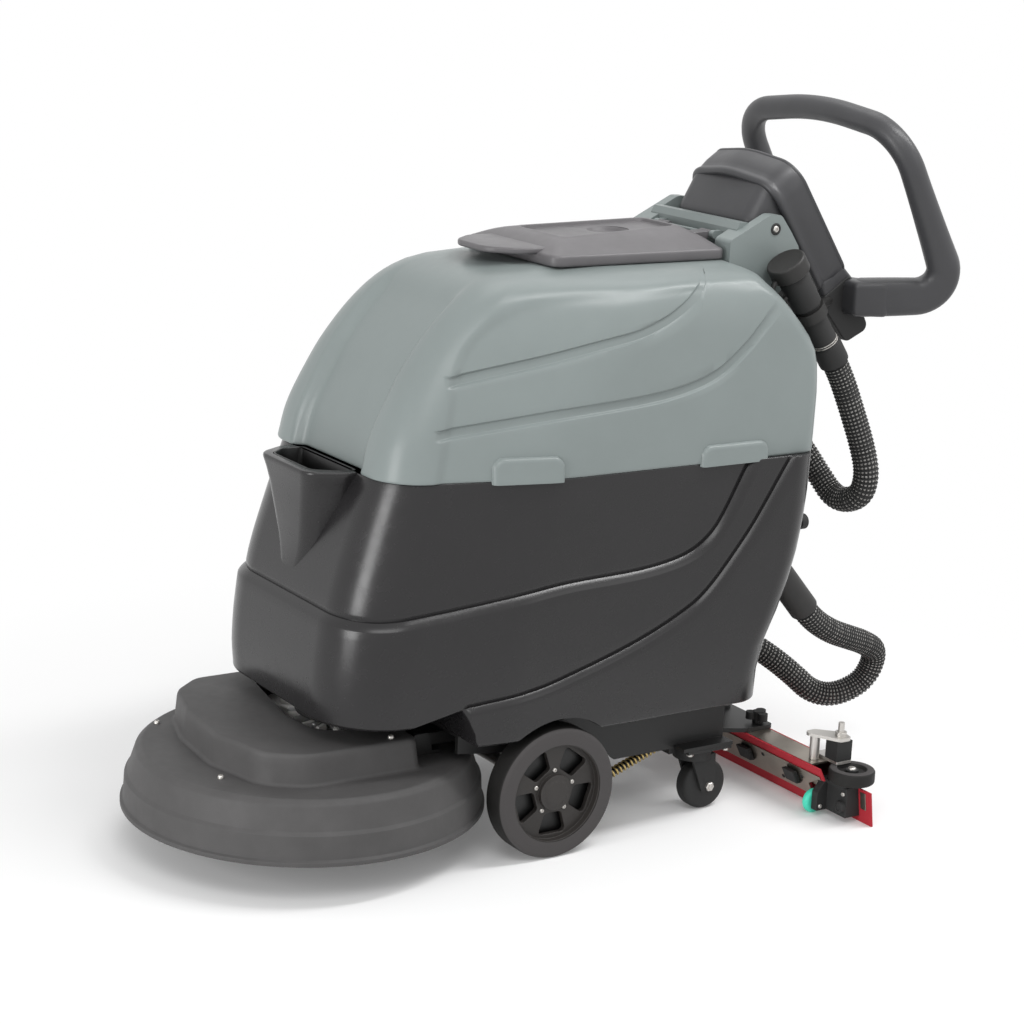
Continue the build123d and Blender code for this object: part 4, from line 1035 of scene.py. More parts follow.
@dataclass
class Hoses:
    """The two ribbed hoses behind the tanks."""

    radius: float = 20.5
    rib_pitch: float = 6.4
    rib_depth: float = 2.6
    lobes: int = 20
    lobe_depth: float = 0.7
    sides: int = 80
    # Rib crests above this share of the rib wave carry the painted highlight.
    painted_highlight_share: float = 0.62
    drain_route: tuple[Point, ...] = (
        (-432.1, 165.0, 692.8), (-446.9, 165.0, 671.5), (-470.0, 172.0, 614.0),
        (-490.0, 181.0, 556.0), (-498.0, 188.0, 512.0), (-498.0, 176.0, 472.0),
        (-495.0, 122.0, 456.0), (-483.0, 86.0, 496.0), (-456.0, 68.0, 542.0),
        (-417.8, 61.9, 582.2), (-381.8, 52.7, 609.4),
    )
    suction_route: tuple[Point, ...] = (
        (-421.7, 150.0, 292.7), (-437.6, 150.0, 274.7), (-484.0, 143.0, 246.0),
        (-536.0, 130.0, 225.0), (-580.0, 117.0, 208.0), (-624.0, 106.0, 184.0),
        (-614.0, 94.0, 130.0), (-566.0, 78.0, 105.0), (-526.0, 62.0, 112.0),
        (-496.0, 50.0, 142.0), (-461.0, 36.0, 172.0), (-420.0, 18.0, 201.0),
        (-376.0, 0.0, 175.5), (-376.0, 0.0, 120.7),
    )

    def build(self) -> None:
        """Build both hoses."""
        drain, drain_path = self.ribbed("drain_hose_ribbed", self.drain_route)
        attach(drain, "machine")
        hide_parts("drain_hose")
        suction, suction_path = self.ribbed("suction_hose_ribbed", self.suction_route)
        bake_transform(suction)
        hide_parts("suction_hose")

    def line(self, name: str, route: tuple[Point, ...]) -> list[Vector]:
        """Read the points of the smooth line that a route's points control.

        Args:
            name: Name of the hose.
            route: Control points.

        Returns:
            Points along the line, in metres.
        """
        data = bpy.data.curves.new(name + "_line", "CURVE")
        data.dimensions = "3D"
        data.resolution_u = 52
        spline = data.splines.new("NURBS")
        spline.points.add(len(route) - 1)
        for point, place in zip(spline.points, route):
            point.co = (place[0] * MM, place[1] * MM, place[2] * MM, 1.0)
        spline.order_u = 3
        spline.use_endpoint_u = True
        guide = bpy.data.objects.new(name + "_line", data)
        mesh = bpy.data.meshes.new_from_object(guide)
        points = [corner.co.copy() for corner in mesh.vertices]
        bpy.data.meshes.remove(mesh)
        bpy.data.objects.remove(guide)
        bpy.data.curves.remove(data)
        return points

    def ribbed(self, name: str, route: tuple[Point, ...]) -> tuple[Piece, list[Vector]]:
        """Build a hose with a rib at every pitch along its line, and light grey painted highlight dashes on
        its crests.

        Args:
            name: Name of the hose.
            route: Control points of its line.

        Returns:
            The hose and the points of its line.
        """
        path = self.line(name, route)
        rings = []
        crests = []
        gone = 0.0
        side_up = Vector((0.0, 1.0, 0.0))
        for index, here in enumerate(path):
            ahead = path[min(index + 1, len(path) - 1)]
            back = path[max(index - 1, 0)]
            if index:
                gone += (here - path[index - 1]).length / MM
            heading = (ahead - back).normalized()
            side_up = (side_up - heading * side_up.dot(heading)).normalized()
            across = heading.cross(side_up)
            wave = 0.5 + 0.5 * math.cos(2 * math.pi * gone / self.rib_pitch)
            radius = self.radius - self.rib_depth * (1 - wave**0.7)
            ring = []
            for step in range(self.sides):
                turn = 2 * math.pi * step / self.sides
                reach = radius - self.lobe_depth * (0.5 - 0.5 * math.cos(self.lobes * turn))
                ring.append(here / MM + (across * math.cos(turn) + side_up * math.sin(turn)) * reach)
            rings.append(ring)
            crests.append(wave)
        hose = loft(name, rings, 60)
        hose.data.materials.append(Finishes.hose.material())
        hose.data.materials.append(Finishes.hose_crest.material())
        # Two of every four faces round each rib crest get the light grey painted highlight.
        for index, face in enumerate(hose.data.polygons):
            row, side = divmod(index, self.sides)
            if row < len(crests) and crests[row] > self.painted_highlight_share and side % 4 in (0, 3):
                face.material_index = 1
        return hose, path


# Tanks


@dataclass
class PlanForm:
    """A tank form: a plan of straight runs and arcs that changes with height."""

    levels: tuple[tuple[float, float, float, float, float], ...]
    side_bend: float = 300.0
    rear_corner: float = 35.0
    nose_length: float = 250.0
    nose_share: float = 0.5
    shares: tuple[int, ...] = (16, 14, 100, 10, 60, 30, 26)
    columns: list[tuple[int, float]] = field(default_factory=list)

    def __post_init__(self) -> None:
        """Spread the columns over the runs and arcs of half a plan."""
        for run, count in enumerate(self.shares):
            for step in range(count):
                self.columns.append((run, (step + 0.5) / count))
        parts = range(1, len(self.levels[0]))
        self.tracks = [Track(tuple((level[0], level[part]) for level in self.levels)) for part in parts]

    def runs(self, height: float, grow: float) -> list[tuple[float, float, float, float, float]]:
        """Return the runs of half a plan, from rear centre to front centre.

        Args:
            height: Height of the plan.
            grow: How far the plan is moved out.

        Returns:
            Start x, start y, heading, length or radius, and turn of each run.
        """
        front, corner, rear, side = (track.value(height) for track in self.tracks)
        bend = front - self.nose_length
        slant = math.atan2(side - corner, self.nose_length + grow)
        nose = self.nose_share * corner + grow
        tail = self.rear_corner + grow
        bend_reach = self.side_bend * math.tan(slant / 2)
        nose_turn = math.pi / 2 - slant
        nose_reach = nose * math.tan(nose_turn / 2)
        slanted = math.hypot(self.nose_length + grow, side - corner)
        moves = [
            (side + grow - tail, 0.0),
            (tail, math.pi / 2),
            (bend - (rear - grow) - tail - bend_reach, 0.0),
            (self.side_bend, slant),
            (slanted - bend_reach - nose_reach, 0.0),
            (nose, nose_turn),
            (corner + grow - nose_reach, 0.0),
        ]
        x, y, heading = rear - grow, 0.0, math.pi / 2
        result = []
        for size, turn in moves:
            result.append((x, y, heading, size, turn))
            x, y = self.along(x, y, heading, size, turn, 1.0)
            heading -= turn
        return result

    @staticmethod
    def along(
        x: float, y: float, heading: float, size: float, turn: float, share: float
    ) -> tuple[float, float]:
        """Find the point at a share of a straight run or a right-hand arc.

        Args:
            x: Where the run starts along the machine.
            y: Where it starts across the machine.
            heading: Its heading at the start.
            size: Length of a straight run or radius of an arc.
            turn: How far an arc turns, or 0 for a straight run.
            share: Share of the run.

        Returns:
            The point's x and y.
        """
        if turn == 0.0:
            return x + math.cos(heading) * size * share, y + math.sin(heading) * size * share
        middle_x = x + size * math.sin(heading)
        middle_y = y - size * math.cos(heading)
        now = heading - turn * share
        return middle_x - size * math.sin(now), middle_y + size * math.cos(now)

    def point(self, column: int, height: float, grow: float) -> tuple[float, float]:
        """Return the plan point of a column at a height, moved out by grow."""
        run, share = self.columns[column]
        return self.along(*self.runs(height, grow)[run], share)

    def side_y(self, x: float, height: float, grow: float) -> float:
        """Find the half width of the plan at an x on its flank.

        Args:
            x: Place along the machine.
            height: Height of the plan.
            grow: How far the plan is moved out.

        Returns:
            The half width.
        """
        past_corner = self.shares[0] + self.shares[1]
        low, high = past_corner, len(self.columns) - past_corner
        while high - low > 1:
            middle = (low + high) // 2
            if self.point(middle, height, grow)[0] < x:
                low = middle
            else:
                high = middle
        near = self.point(low, height, grow)
        far = self.point(high, height, grow)
        share = (x - near[0]) / (far[0] - near[0])
        return near[1] + share * (far[1] - near[1])


def column_rings(
    form: PlanForm, rows: Callable[[int], list[float]], relief: Callable[[float, float, float], float]
) -> list[list[Point]]:
    """Build the rings of a tank whose rows follow its feature lines.

    Args:
        form: The tank's form.
        rows: Gives the heights of a column's points.
        relief: Gives how far the skin stands out at x, y and height.

    Returns:
        Rings of points round the tank, from the lowest row up.
    """
    half: list[list[Point]] = []
    for column in range(len(form.columns)):
        line = []
        for height in rows(column):
            x, y = form.point(column, height, 0.0)
            x, y = form.point(column, height, relief(x, y, height))
            line.append((x, y, height))
        half.append(line)
    rings = []
    for row in range(len(half[0])):
        near = [line[row] for line in half]
        rings.append(near + [(x, -y, z) for x, y, z in reversed(near)])
    return rings


def between(start: float, end: float, parts: int) -> list[float]:
    """Return the inner marks that divide a span into equal parts."""
    return [start + (end - start) * step / parts for step in range(1, parts)]


def rising(heights: Sequence[float], low: float, high: float) -> list[float]:
    """Keep heights between two limits and strictly rising.

    Args:
        heights: Wanted heights from low to high.
        low: Lowest height.
        high: Highest height.

    Returns:
        The heights, at least a hair apart.
    """
    hair = 0.04
    result: list[float] = []
    for index, height in enumerate(heights):
        floor_value = low if not result else result[-1] + hair
        ceiling = high - hair * (len(heights) - 1 - index)
        result.append(min(max(height, floor_value), ceiling))
    return result


SOLVE_ROUNDS = 14
LOWER_FORM = PlanForm(
    (
        (186, 430, 190, -266, 223),
        (205, 431, 191, -265, 227),
        (232, 432, 193, -263, 230),
        (271, 434, 195, -267, 233),
        (331, 430, 196, -292, 235),
        (405, 419, 194, -317, 236),
        (490, 394, 188, -331, 237),
        (574, 366, 182, -334, 238),
    )
)
UPPER_FORM = PlanForm(
    (
        (574, 364, 182, -354, 240),
        (625, 352, 176, -357, 238),
        (680, 326, 169, -360, 234),
        (730, 297, 160, -353, 230),
        (785, 252, 150, -312, 224),
        (823, 206, 138, -276, 210),
        (845, 158, 118, -252, 180),
        (853, 112, 98, -236, 146),
    ),
    nose_share=0.38,
)


@dataclass
class LowerTank:
    """Dark tank with a waist band, a rear apron, wheel arches and a filler boss."""

    seam: float = SEAM
    band: float = 9.0
    band_edge: float = 12.0
    apron: float = 7.0
    apron_edge: float = 9.0
    undercut: float = 2.0
    undercut_fade: float = 8.0
    rim_round: float = 3.0
    foot_round: float = 4.0
    waist_span: tuple[float, float] = (-260.0, 470.0)
    crease_span: tuple[float, float] = (-330.0, 275.0)
    rim_depth: float = 2.2
    rim_reach: float = 3.2
    foot_depth: float = 3.0
    crown: float = 0.55
    arch: float = 117.0
    apron_fade: tuple[float, float] = (252.0, 264.0)
    foot_line: tuple[tuple[float, float], ...] = ((238, 190), (241, 205), (262, 247), (333, 227))
    waist: Track = Track(
        ((-222, 574), (-160, 468), (-81, 430), (113, 416), (300, 391), (391, 382), (470, 386))
    )
    crease: Track = Track(((-293, 574), (-215, 455), (-123, 360), (105, 275), (262, 250)))
    boss_front: Track = Track(
        ((396, 420.6), (405, 418.4), (420, 415.6), (436, 414.6))
        + ((455, 415.4), (480, 418.2), (520, 423.6), (574, 431))
    )

    def foot_at(self, x: float) -> float:
        """Find the height of the tank's lower edge.

        Args:
            x: Place along the machine.

        Returns:
            The height there.
        """
        line = self.foot_line
        if x <= line[0][0]:
            return line[0][1]
        for (near, low), (far, high) in zip(line, line[1:]):
            if x < far:
                return low + (high - low) * (x - near) / (far - near)
        return line[-1][1]

    def step(self, line: tuple[float, float], size: float, edge: float, height: float) -> float:
        """Find how far a ledge stands out: a crowned slope below a line, undercut above it.

        Args:
            line: Height and lean of the ledge's upper line.
            size: How far the ledge stands out below its slope.
            edge: Width of the slope.
            height: Where it is asked for.

        Returns:
            The distance, in millimetres.
        """
        away = (line[0] - height) / line[1]
        if away <= 0:
            return -self.undercut * (1 - ease(0.0, self.undercut_fade, -away))
        share = min(1.0, away / edge)
        return size * share * (1 + self.crown - self.crown * share)

    def relief(self, x: float, y: float, height: float) -> float:
        """Find how far the skin stands out at a point.

        Args:
            x: Place along the machine.
            y: Place across it, which makes no difference on this tank.
            height: Height of the point.

        Returns:
            The distance, in millimetres.
        """
        waist = self.waist.line(x, self.waist_span)
        crease = self.crease.line(x, self.crease_span)
        out = self.step(waist, self.band, self.band_edge, height)
        fade = 1 - ease(*self.apron_fade, x)
        out += fade * self.step(crease, self.apron, self.apron_edge, height)
        rim = self.seam - self.rim_round
        if height > rim:
            out -= self.rim_depth * (1 - math.sqrt(max(0.0, 1 - ((height - rim) / self.rim_reach) ** 2)))
        foot = self.foot_at(x) + self.foot_round
        if height < foot:
            out -= self.foot_depth * ((foot - height) / self.foot_round) ** 2
        return out

    def rows(self, column: int) -> list[float]:
        """Gather the heights of one column at the waist and the crease.

        Args:
            column: Number of the column.

        Returns:
            The heights from the foot up to the seam.
        """
        foot = 200.0
        for _ in range(SOLVE_ROUNDS):
            foot = self.foot_at(LOWER_FORM.point(column, foot, 0.0)[0])
        crease = waist = 400.0
        lean_crease = lean_waist = 1.0
        for _ in range(SOLVE_ROUNDS):
            x = LOWER_FORM.point(column, min(crease, self.seam), 0.0)[0]
            crease, lean_crease = self.crease.line(x, self.crease_span)
            x = LOWER_FORM.point(column, min(waist, self.seam), 0.0)[0]
            waist, lean_waist = self.waist.line(x, self.waist_span)
        turns = [0.0, 0.08, 0.2, 0.36, 0.54, 0.72, 0.86, 0.95, 0.995]
        above = [0.05, 1.2, 2.6, 4.4, 6.4, 8.4]
        low = crease - self.apron_edge * lean_crease
        high = waist - self.band_edge * lean_waist
        heights = [foot, foot + 1.3, foot + 2.7, foot + self.foot_round]
        start = foot + self.foot_round
        heights += between(start, low, 9)
        heights += [low + (crease - low) * turn for turn in turns]
        heights += [crease + lean_crease * away for away in above]
        start = crease + above[-1] * lean_crease
        heights += between(start, high, 9)
        heights += [high + (waist - high) * turn for turn in turns]
        heights += [waist + lean_waist * away for away in above]
        rim = self.seam - self.rim_round
        start = waist + above[-1] * lean_waist
        heights += between(start, rim, 13)
        heights += [rim, rim + 1.2, rim + 2.2, rim + 2.8, self.seam]
        return rising(heights, foot, self.seam)

    def build(self) -> None:
        """Build the tank body and its boss."""
        body = loft("lower_tank", column_rings(LOWER_FORM, self.rows, self.relief), 40, strips=True)
        arch = [(0, 0), (self.arch, 0), (self.arch, 160), (0, 160)]
        left = lathe("arch_left", arch, on_axis((AXLE_X, 185, AXLE_Z), (0, 1, 0)), 96)
        right = lathe("arch_right", arch, on_axis((AXLE_X, -185, AXLE_Z), (0, -1, 0)), 96)
        motor_room = [(0, 150), (92, 150), (92, 345), (0, 345)]
        pocket = lathe("pocket", motor_room, Matrix.Translation((MOTOR_X, 0, 0)), 64)
        well_plan = rounded([(-248, -180), (228, -180), (228, 180), (-248, 180)], [14] * 4, 5)
        well = prism("well", well_plan, 238.0, 590.0)
        frame_room = rounded([(-254, -181), (236, -181), (236, 181), (-254, 181)], [4] * 4, 3)
        bay = prism("bay", frame_room, 150.0, 200.5)
        cut(body, left, right, pocket, well, bay)
        boss = self.boss()
        for target in (body, boss):
            tool = loft("cup_room", [self.cup_ring(0.1, z) for z in (515.0, 600.0)])
            cut(target, tool)
        shade(body, 40)
        shade(boss, 40)
        whole = joined("lower_tank_shell", [body, boss], 40)
        set_in_place(whole, "machine", Finishes.dark_tank, "dark_tank", "solution_tank")
        # The filler cup is near black: painted shade in its hollow.
        steps = [(-0.1, 515.2), (-0.1, 573.0), (-1.2, 574.6), (-3.0, 574.6)]
        steps += [(-4.2, 573.2), (-5.4, 550), (-9, 520)]
        cup = loft("filler_cup_liner", [self.cup_ring(grow, height) for grow, height in steps], 40)
        set_in_place(cup, "machine", Finishes.near_black_shade, "black_plastic", "filler_cup")

    @staticmethod
    def cup_ring(grow: float, height: float) -> list[Point]:
        """Draw the filler cup's outline.

        Args:
            grow: How far the outline is moved out.
            height: Height of the outline.

        Returns:
            The outline's points.
        """
        taper = 0.36 * max(0.0, SEAM - height)
        outline = [(358, -84), (394, -84), (421, -62)]
        outline += [(421, 53 - taper), (386, 79 - taper), (358, 83 - taper)]
        return flat_ring(rounded(inset(outline, -grow), [8, 20, 20, 20, 20, 8], 6), height)

    def boss(self) -> Piece:
        """Build the wedge-shaped filler boss in front, wider on the machine's right.

        Returns:
            The boss, not yet hollow.
        """
        rings = []
        low, rim_height = 405.0, 5.0
        low_line = [(330, 34), (380, 30), (411, 20), (411, -52), (382, -62), (330, -66)]
        high_line = [(330, 94), (378, 89), (431, 66), (431, -74), (388, -98), (330, -104)]
        heights = [396, 400, 405, 412, 420, 430, 445, 460, 480]
        heights += [500, 520, 535, 555, 566, 570, 572.5, 573.6, SEAM]
        for height in heights:
            share = (height - low) / (SEAM - low)
            flare = 3.0 * ease(540, SEAM, height)
            rise = max(0.0, (height - (SEAM - rim_height)) / rim_height)
            rim = 3.0 * (1 - math.sqrt(max(0.0, 1 - rise**2)))
            line = [Vector(near).lerp(Vector(far), share) for near, far in zip(low_line, high_line)]
            line[2].x = line[3].x = self.boss_front.value(height)
            grown = [
                (x if x < 350 else x + flare - rim, y + math.copysign(flare - rim, y)) for x, y in line
            ]
            rings.append(flat_ring(rounded(grown, [5, 26, 32, 32, 26, 5], 8), height))
        return loft("filler_boss", rings, 40)


@dataclass
class UpperTank:
    """Grey tank with a recessed front bay, side grooves, seam tabs and an open mouth."""

    seam: float = SEAM
    top: float = 853.0
    shell: float = 16.0
    bay_half: float = 98.0
    bay_depth: float = 17.0
    panel_depth: float = 4.5
    groove_depth: float = 4.2
    groove_half: float = 9.0
    groove_flat: float = 0.56
    groove_lead: tuple[float, float] = (-8.0, 44.0)
    groove_tail: tuple[float, float] = (-4.0, 10.0)
    flank_fade: tuple[float, float] = (105.0, 125.0)
    roof_fade: tuple[float, float] = (838.0, 849.0)
    bay_top: tuple[float, float] = (792.0, 838.0)
    bay_front: tuple[float, float] = (90.0, 150.0)
    panel_edge: float = 9.0
    foot_round: float = 4.0
    mouth_x: float = -80.0
    mouth_length: float = 125.0
    mouth_width: float = 92.0
    high_groove: Track = Track(
        ((-155, 846), (-141, 832), (-111, 811), (-72, 790), (-24, 772))
        + ((46, 757), (124, 739), (200, 724), (268, 711))
    )
    low_groove: Track = Track(
        ((-275, 803), (-241, 772), (-209, 742), (-163, 709), (-113, 690))
        + ((-41, 677), (93, 666), (207, 651), (292, 640))
    )
    panel_front: Track = Track(
        ((574, 297), (628, 285), (673, 273), (712, 262), (760, 236))
        + ((796, 184), (817, 118), (827, 20), (834, -250))
    )

    def groove(self, track: Track, x: float, height: float) -> float:
        """Find the depth of a groove at a point on the flank.

        Args:
            track: Height of the groove's middle over x.
            x: Place along the machine.
            height: Height of the point.

        Returns:
            The depth there.
        """
        first, last = track.ends()
        middle, lean = track.line(x, track.ends())
        away = abs(height - middle) / lean
        ends = ease(first + self.groove_lead[0], first + self.groove_lead[1], x)
        ends *= 1 - ease(last + self.groove_tail[0], last + self.groove_tail[1], x)
        return self.groove_depth * ends * (1 - ease(self.groove_flat, 1.0, away / self.groove_half))

    def panel(self, x: float, height: float) -> float:
        """Find the share of the flank's sunk panel at a point.

        Args:
            x: Place along the machine.
            height: Height of the point.

        Returns:
            1 on the panel and 0 on the nose and the roof.
        """
        low, high = self.panel_front.ends()
        front, lean = self.panel_front.line(height, (low, high))
        away = (front - x) / lean - max(0.0, height - high)
        return ease(-self.panel_edge, self.panel_edge, away)

    def relief(self, x: float, y: float, height: float) -> float:
        """Find how far the skin stands out at a point.

        Args:
            x: Place along the machine.
            y: Place across it.
            height: Height of the point.

        Returns:
            The distance, in millimetres.
        """
        out = 0.0
        foot = self.seam + self.foot_round
        if height < foot:
            out -= 2.6 * (1 - math.sqrt(max(0.0, 1 - ((foot - height) / 4.2) ** 2)))
        flank = ease(*self.flank_fade, abs(y))
        roof = 1 - ease(*self.roof_fade, height)
        out -= self.groove(self.high_groove, x, height) * flank * roof
        out -= self.groove(self.low_groove, x, height) * flank * roof
        out += self.panel_depth * (1 - self.panel(x, height)) * roof
        if x > self.bay_front[0]:
            sides = 1 - ease(self.bay_half - 10, self.bay_half + 8, abs(y))
            out -= self.bay_depth * sides * (1 - ease(*self.bay_top, height)) * ease(*self.bay_front, x)
        return out

    def rows(self, column: int) -> list[float]:
        """Gather the heights of one column along the two grooves.

        Args:
            column: Number of the column.

        Returns:
            The heights from the seam up to the top.
        """
        low = high = 700.0
        lean_low = lean_high = 1.0
        for _ in range(SOLVE_ROUNDS):
            x = UPPER_FORM.point(column, min(low, self.top), 0.0)[0]
            low, lean_low = self.low_groove.line(x, self.low_groove.ends())
            x = UPPER_FORM.point(column, min(high, self.top), 0.0)[0]
            high, lean_high = self.high_groove.line(x, self.high_groove.ends())
        spread = [-10, -9, -8.2, -7.4, -6.6, -5.8, -5, -2.5, 0, 2.5, 5, 5.8, 6.6, 7.4, 8.2, 9, 10]
        start = self.seam + self.foot_round
        heights = [self.seam, self.seam + 0.5, self.seam + 1.4, self.seam + 2.6, start]
        first = low + spread[0] * lean_low
        heights += between(start, first, 10)
        heights += [low + lean_low * away for away in spread]
        left = low + spread[-1] * lean_low
        second = high + spread[0] * lean_high
        heights += between(left, second, 8)
        heights += [high + lean_high * away for away in spread]
        over = high + spread[-1] * lean_high
        heights += [over + (self.top - over) * step / 16 for step in range(1, 17)]
        return rising(heights, self.seam, self.top)

    def build(self) -> None:
        """Build the shell, its tabs and its drain outlet."""
        rings = column_rings(UPPER_FORM, self.rows, self.relief)
        count = len(rings[0])
        mouth = self.mouth_ring(rings[-1])
        inner = (842.0, 820.0, 780.0, 720.0, 640.0, 586.0)
        rings.append([(x, y, self.top) for x, y in mouth])
        rings.append([(x, y, inner[0]) for x, y in mouth])
        for height in inner:
            plan = [UPPER_FORM.point(column, height, -self.shell) for column in range(count // 2)]
            ring = [(x, y, height) for x, y in plan]
            rings.append(ring + [(x, -y, z) for x, y, z in reversed(ring)])
        shell = loft("upper_tank", rings, 40, strips=True)
        pieces = [shell]
        for x0, x1, top in ((113, 220, 608), (-251, -127, 602)):
            tab = self.tab(x0, x1, top)
            pieces += [tab, mirrored("tab_right", tab)]
        axis = Vector((-0.78, 0.2, -0.59)).normalized()
        outlet = [(17.5, -14), (20.5, -14), (20.5, 30), (22.5, 31), (22.5, 37), (21.5, 38), (17.5, 38)]
        pieces.append(lathe("drain_outlet", outlet, on_axis((-352, 45, 632), axis), 40))
        whole = joined("upper_tank_shell", pieces, 40)
        set_in_place(whole, "machine", Finishes.grey_tank, "grey_tank", "recovery_tank")

    def mouth_ring(self, ring: list[Point]) -> list[tuple[float, float]]:
        """Draw the mouth with one point for each point of the top ring.

        Args:
            ring: The tank's top ring.

        Returns:
            Points of the mouth's plan.
        """
        result = []
        for x, y, _ in ring:
            across = Vector((x - self.mouth_x, y)).normalized()
            reach = 400.0
            for half, part in ((self.mouth_length, abs(across.x)), (self.mouth_width, abs(across.y))):
                if part > 1e-6:
                    reach = min(reach, half / part)
            result.append((self.mouth_x + across.x * reach, across.y * reach))
        return result

    def tab(self, x0: float, x1: float, top: float) -> Piece:
        """Build one locating tab on the left flank.

        Args:
            x0: Its rear end.
            x1: Its front end.
            top: Its upper edge.

        Returns:
            The tab, open towards the tank.
        """
        across, rise, corner, edge_width = 72, 26, 18.0, 7.0
        points = []
        for row in range(rise + 1):
            height = self.seam - 4 + (top - self.seam + 4) * row / rise
            for step in range(across + 1):
                x = x0 + (x1 - x0) * step / across
                side = min(x - x0, x1 - x)
                reach = Vector((max(0.0, corner - side), max(0.0, corner - (top - height)))).length
                edge = max(0.0, min(side, top - height, corner - reach if reach > 0 else 99.0))
                share = min(1.0, edge / edge_width)
                out = -2.0 + 8.0 * math.sqrt(1 - (1 - share) ** 2)
                points.append((x, UPPER_FORM.side_y(x, max(height, self.seam), out), height))
        return solid("tab", points, ring_faces(rise + 1, across + 1, False), 60)


# Lid, console and drain pipe


@dataclass
class TankLid:
    """Dark lid with a thick edge, a raked crown with a tray and a dish, and a finger tongue."""

    front: float = 69.0
    rear: float = -240.0
    half: float = 122.0
    top_front: float = 19.0
    top_rear: float = -206.0
    crown: float = 889.0
    rise: float = 8.0
    dish_x: float = -106.0

    def top_z(self, x: float) -> float:
        """Return the height of the raked top plane at an x."""
        return self.crown + self.rise * (self.top_front - x) / (self.top_front - self.top_rear)

    def edge_ring(self, amount: float, height: float) -> list[Point]:
        """Return the lid's outline moved in by an amount, at a height."""
        half = [(self.rear + amount, self.half - amount), (self.front - amount, self.half - amount)]
        return flat_ring(rounded(both_sides(half), [12, 16, 16, 12], 8), height)

    def top_ring(self, amount: float, sink: float) -> list[Point]:
        """Return the top's outline moved in by an amount, sunk below the top plane."""
        half = [(self.top_rear + amount, 48 - amount), (self.top_front - amount, 68 - amount)]
        return [(x, y, self.top_z(x) - sink) for x, y in rounded(both_sides(half), [12] * 4, 8)]

    def slope_ring(self, share: float, bulge: float) -> list[Point]:
        """Draw a ring on the slope between the edge and the top.

        Args:
            share: Share of the way up the slope.
            bulge: How far the ring stands above the straight slope.

        Returns:
            The ring's points.
        """
        pairs = zip(self.edge_ring(4.6, 871.6), self.top_ring(0, 0.6))
        spots = [Vector(low).lerp(Vector(high), share) for low, high in pairs]
        return [(spot.x, spot.y, spot.z + bulge) for spot in spots]

    def build(self) -> None:
        """Build the lid with its hinge knuckles."""
        edge = [(5, 854), (1.6, 854.3), (0.5, 855.4), (0, 857.4)]
        edge += [(0, 866.4), (0.4, 868.4), (1.5, 870), (3.2, 871.1)]
        rings = [self.edge_ring(amount, height) for amount, height in edge]
        rings += [self.slope_ring(step / 6, 2.4 * math.sin(math.pi * step / 6)) for step in range(7)]
        tray = [(1.6, 0.1), (3.6, 0.2), (4.8, 0.9), (5.4, 2.4), (6.2, 5.0), (7.4, 5.8), (9.0, 6.0)]
        rings += [self.top_ring(amount, sink) for amount, sink in tray]
        lid = loft("lid_slab", rings, 30)
        floor = self.top_z(self.dish_x) - 6.0
        dish = [(0, -8), (21, -7.8), (26, -6.8), (28.6, -4.6)]
        dish += [(30.6, -1.6), (33.4, 0.2), (33.6, 12), (0, 12)]
        place = Matrix.Translation((self.dish_x, 0, floor))
        cut(lid, lathe("dish", dish, place, 72))
        shade(lid, 32)
        tongue = [(35, 76), (95, 76), (137, 40), (137, -40), (95, -76), (35, -76)]
        grip = pillow("lid_tongue", tongue, [4, 40, 40, 40, 40, 4], (867.5, 877.0), 3.4, on_plan)
        pieces = [lid, grip]
        for flank in (1, -1):
            knuckle = [(3.05, -13), (6, -13), (6, 13), (3.05, 13)]
            pieces.append(lathe("knuckle", knuckle, on_axis((-254, 53 * flank, 884), (0, 1, 0)), 28))
            leaf = [(-249.4, 888.6), (-216, 887), (-216, 869), (-238, 869), (-249.6, 879.4)]
            span = (40.0, 66.0) if flank > 0 else (-66.0, -40.0)
            pieces.append(pillow("leaf", leaf, [1, 1, 1, 1, 1], span, 1.0, on_flank))
        whole = joined("tank_lid", pieces, 35)
        set_in_place(whole, "tank_lid", Finishes.lid_grey, "lid_grey", "lid")
        dress(Finishes.seal, "lid_seal")


@dataclass
class Yoke:
    """Grey yoke behind the lid with its two bolts."""

    bolt_x: float = -328.0
    bolt_z: float = 897.0
    outer: float = 128.0

    def build(self) -> None:
        """Build the yoke and its bolts."""
        rounded_copy("yoke", "machine", Finishes.grey_tank, "grey_tank", 4.0, 4)
        collar = [(5.5, -1), (9.2, -1), (9.2, 0.8), (8.2, 1.6), (6.2, 1.6), (5.5, 0.4)]
        for side in Side:
            foot = (self.bolt_x, self.outer * side.value, self.bolt_z)
            axis = (0, side.value, 0)
            ring = lathe("collar_" + side.label, collar, on_axis(foot, axis), 32)
            set_in_place(ring, "machine", Finishes.black_plastic, "black_plastic")
            head = screw_head("yoke_bolt_" + side.label, foot, axis, 5.4, 2.6, 2.2)
            set_in_place(head, "machine", Finishes.bright_steel, "bright_steel")


